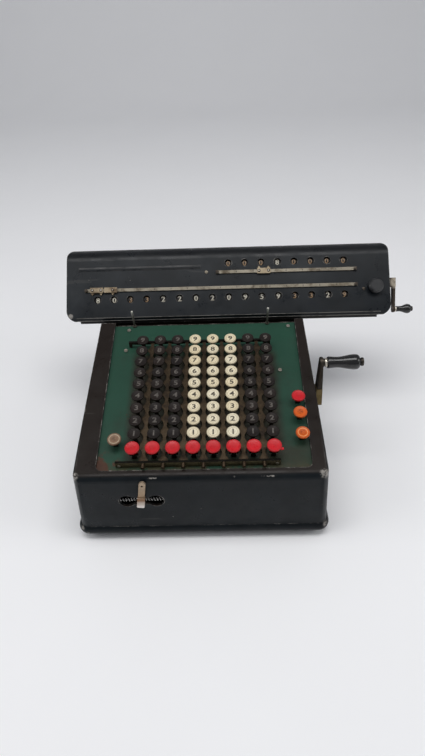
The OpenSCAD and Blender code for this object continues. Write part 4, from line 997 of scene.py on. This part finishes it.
def face_fittings():
    """Screws on the face, the worn edges along its foot and the crease left of its upper windows."""
    form = Form(DARK_STEEL, RAIL_NICKEL, WORN_EDGE, CREASE)
    last = (LOWER_DIALS - 1) * COLUMN_PITCH
    first_upper = FIRST_UPPER_DIAL * COLUMN_PITCH
    rail_end = RAIL_MARGIN - RAIL_W / 2
    rail_top = RAIL_T + RAIL_SCREW_RISE
    for x, t, turn in (
        (-rail_end, LOWER_RAIL_T, 70), (last + rail_end, LOWER_RAIL_T, 40),
        (first_upper - rail_end, UPPER_RAIL_T, 100), (last + rail_end, UPPER_RAIL_T, 20),
    ):
        place = Matrix.Translation((x, t, rail_top))
        slotted_screw(form, ON_FACE @ place, RAIL_SCREW_R, RAIL_SCREW_H, turn)
    left = Matrix.Translation((first_upper - FACE_SCREW_LEFT, UPPER_RAIL_T + FACE_SCREW_UP, 0))
    slotted_screw(form, ON_FACE @ left, SCREW_R, SCREW_H, 80, 1)
    right = Matrix.Translation((last + KNOB_SCREW_RIGHT, LOWER_RAIL_T - KNOB_SCREW_DOWN, 0))
    slotted_screw(form, ON_FACE @ right, SCREW_R, SCREW_H, 80)
    low, high = box_mm("carriage_cover")
    turns = [math.pi * (0.25 + k / 8) for k in range(9)]
    half = [(EDGE_R * math.cos(a), EDGE_R * math.sin(a)) for a in turns]
    for z in (FACE_ORIGIN[2], low.z + EDGE_RISE):
        edge = IN_MODEL @ Matrix.Translation((0, FACE_ORIGIN[1], z))
        form.add(*bar(half, low.x + EDGE_INSET, high.x - EDGE_INSET), edge, 2)
    across = [k / 8 for k in range(8, -9, -1)]
    ridge = [(CREASE_HALF_W * y, CREASE_H * math.cos(math.pi / 2 * y) - CREASE_SUNK) for y in across]
    start, end = low.x + CREASE_INSET - FACE_ORIGIN[0], first_upper - CREASE_SHORT
    form.add(*bar(ridge, start, end), ON_FACE @ Matrix.Translation((0, CREASE_T, 0)), 3)
    form.build("face_fittings", "carriage", "nickel")


face_fittings()


def bar_screws():
    """A screw at each end of the front marker bar."""
    form = Form(NICKEL)
    low, high = box_mm("marker_bars")
    front = Matrix.Rotation(math.radians(90), 4, "X")
    for x, turn in ((low.x + BAR_SCREW_INSET, 35), (high.x - BAR_SCREW_INSET, 80)):
        at = (x - DECK_ORIGIN[0], FRONT_BAR_U - FRONT_BAR_T / 2, PLATE_TOP + BAR_SCREW_RISE)
        slotted_screw(form, ON_DECK @ Matrix.Translation(at) @ front, BAR_SCREW_R, BAR_SCREW_H, turn)
    form.build("bar_screws", "machine", "nickel")


bar_screws()


def pointer_rivets(node, places, t):
    """A dark washer and a bright rivet over each prong of a pointer."""
    form = Form(DARK_STEEL, NICKEL)
    top = RAIL_T + POINTER_GAP + POINTER_T
    for x in places:
        matrix = ON_FACE @ Matrix.Translation((x, t, top))
        form.add(*lathe(WASHER, 28), matrix)
        form.add(*lathe(RIVET, 24), matrix, 1)
    form.build(node + "_rivets", frame["nodes"][node]["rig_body"], "pointer_nickel")


pointer_rivets("lower_pointers", LOWER_RIVETS, LOWER_RAIL_T)
pointer_rivets(
    "upper_pointer", (UPPER_POINTER_X - UPPER_RIVET_OUT, UPPER_POINTER_X + UPPER_RIVET_OUT), UPPER_RAIL_T)


# Floor, light and camera, with the stage in metres

FLOOR_SIZE = 8.0
BACKDROP_Y = 1.4
BACKDROP_H = 3.0
BACKDROP_BEND = 0.7
WORLD_COLOUR = (0.93, 0.95, 1.0, 1)
WORLD_STRENGTH = 0.3
# The photograph's camera: millimetres, degrees and pixels of its picture
CAMERA_AT = (25.5, -477.1, 497.8)
CAMERA_TURN = (-1.684, 39.98, 2.376)
FOCAL = 560.0
PICTURE_H = 756.0
SENSOR = 36.0


def floor():
    """A pale floor that bends up into a backdrop."""
    s = Shader("pale_floor")
    s.set(Base_Color=s.mix(s.noise(6, 4), (0.91, 0.91, 0.92), (0.94, 0.94, 0.95)))
    s.set(Roughness=0.55, Specular_IOR_Level=0.2)
    mesh = bpy.data.meshes.new("floor")
    half, bend, steps = FLOOR_SIZE / 2, BACKDROP_BEND, 16
    turns = [math.pi / 2 * k / steps for k in range(steps + 1)]
    curve = [(BACKDROP_Y + bend * math.sin(a), bend - bend * math.cos(a)) for a in turns]
    side = [(-half, 0.0)] + curve + [(BACKDROP_Y + bend, BACKDROP_H)]
    points = [(x, y, z) for y, z in side for x in (-half, half)]
    faces = [(2 * k, 2 * k + 1, 2 * k + 3, 2 * k + 2) for k in range(len(side) - 1)]
    mesh.from_pydata(points, [], faces)
    mesh.materials.append(s.material)
    for polygon in mesh.polygons:
        polygon.use_smooth = True
    obj = bpy.data.objects.new("floor", mesh)
    scene.collection.objects.link(obj)


def world():
    """Even, slightly cool light from all round."""
    made = bpy.data.worlds.new("studio")
    made.use_nodes = True
    back = made.node_tree.nodes["Background"]
    back.inputs["Color"].default_value = WORLD_COLOUR
    back.inputs["Strength"].default_value = WORLD_STRENGTH
    scene.world = made


def lamp(name, place, aim, size, power):
    """A soft rectangular lamp that looks at a point."""
    light = bpy.data.lights.new(name, "AREA")
    light.shape = "RECTANGLE"
    light.size, light.size_y = size
    light.energy = power
    obj = bpy.data.objects.new(name, light)
    obj.location = place
    obj.rotation_euler = (Vector(aim) - Vector(place)).to_track_quat("-Z", "Y").to_euler()
    scene.collection.objects.link(obj)


def camera():
    """The photograph's camera, from its place, its yaw, pitch and roll, and its focal length in pixels."""
    place = Vector(CAMERA_AT) * MM
    yaw, pitch, roll = (math.radians(a) for a in CAMERA_TURN)
    forward = Vector((math.sin(yaw) * math.cos(pitch), math.cos(yaw) * math.cos(pitch), -math.sin(pitch)))
    level = Vector((math.cos(yaw), -math.sin(yaw), 0))
    under = forward.cross(level)
    right = math.cos(roll) * level + math.sin(roll) * under
    down = math.cos(roll) * under - math.sin(roll) * level
    data = bpy.data.cameras.new("photo_camera")
    data.sensor_width = SENSOR
    data.lens = FOCAL / PICTURE_H * SENSOR
    data.clip_start = 0.01
    obj = bpy.data.objects.new("photo_camera", data)
    turn = Matrix((right, -down, -forward)).transposed().to_4x4()
    obj.matrix_world = Matrix.Translation(place) @ turn
    scene.collection.objects.link(obj)
    scene.camera = obj


floor()
world()
lamp("overhead", place=(0.0, -0.2, 1.6), aim=(0.0, -0.02, 0.1), size=(1.5, 0.6), power=13.0)
lamp("left_fill", place=(-1.3, -0.35, 1.0), aim=(0.0, 0.0, 0.1), size=(0.8, 0.8), power=5.0)
lamp("right_fill", place=(1.3, -0.3, 0.9), aim=(0.1, 0.0, 0.1), size=(0.7, 0.7), power=4.0)
camera()

scene.view_settings.view_transform = "Standard"
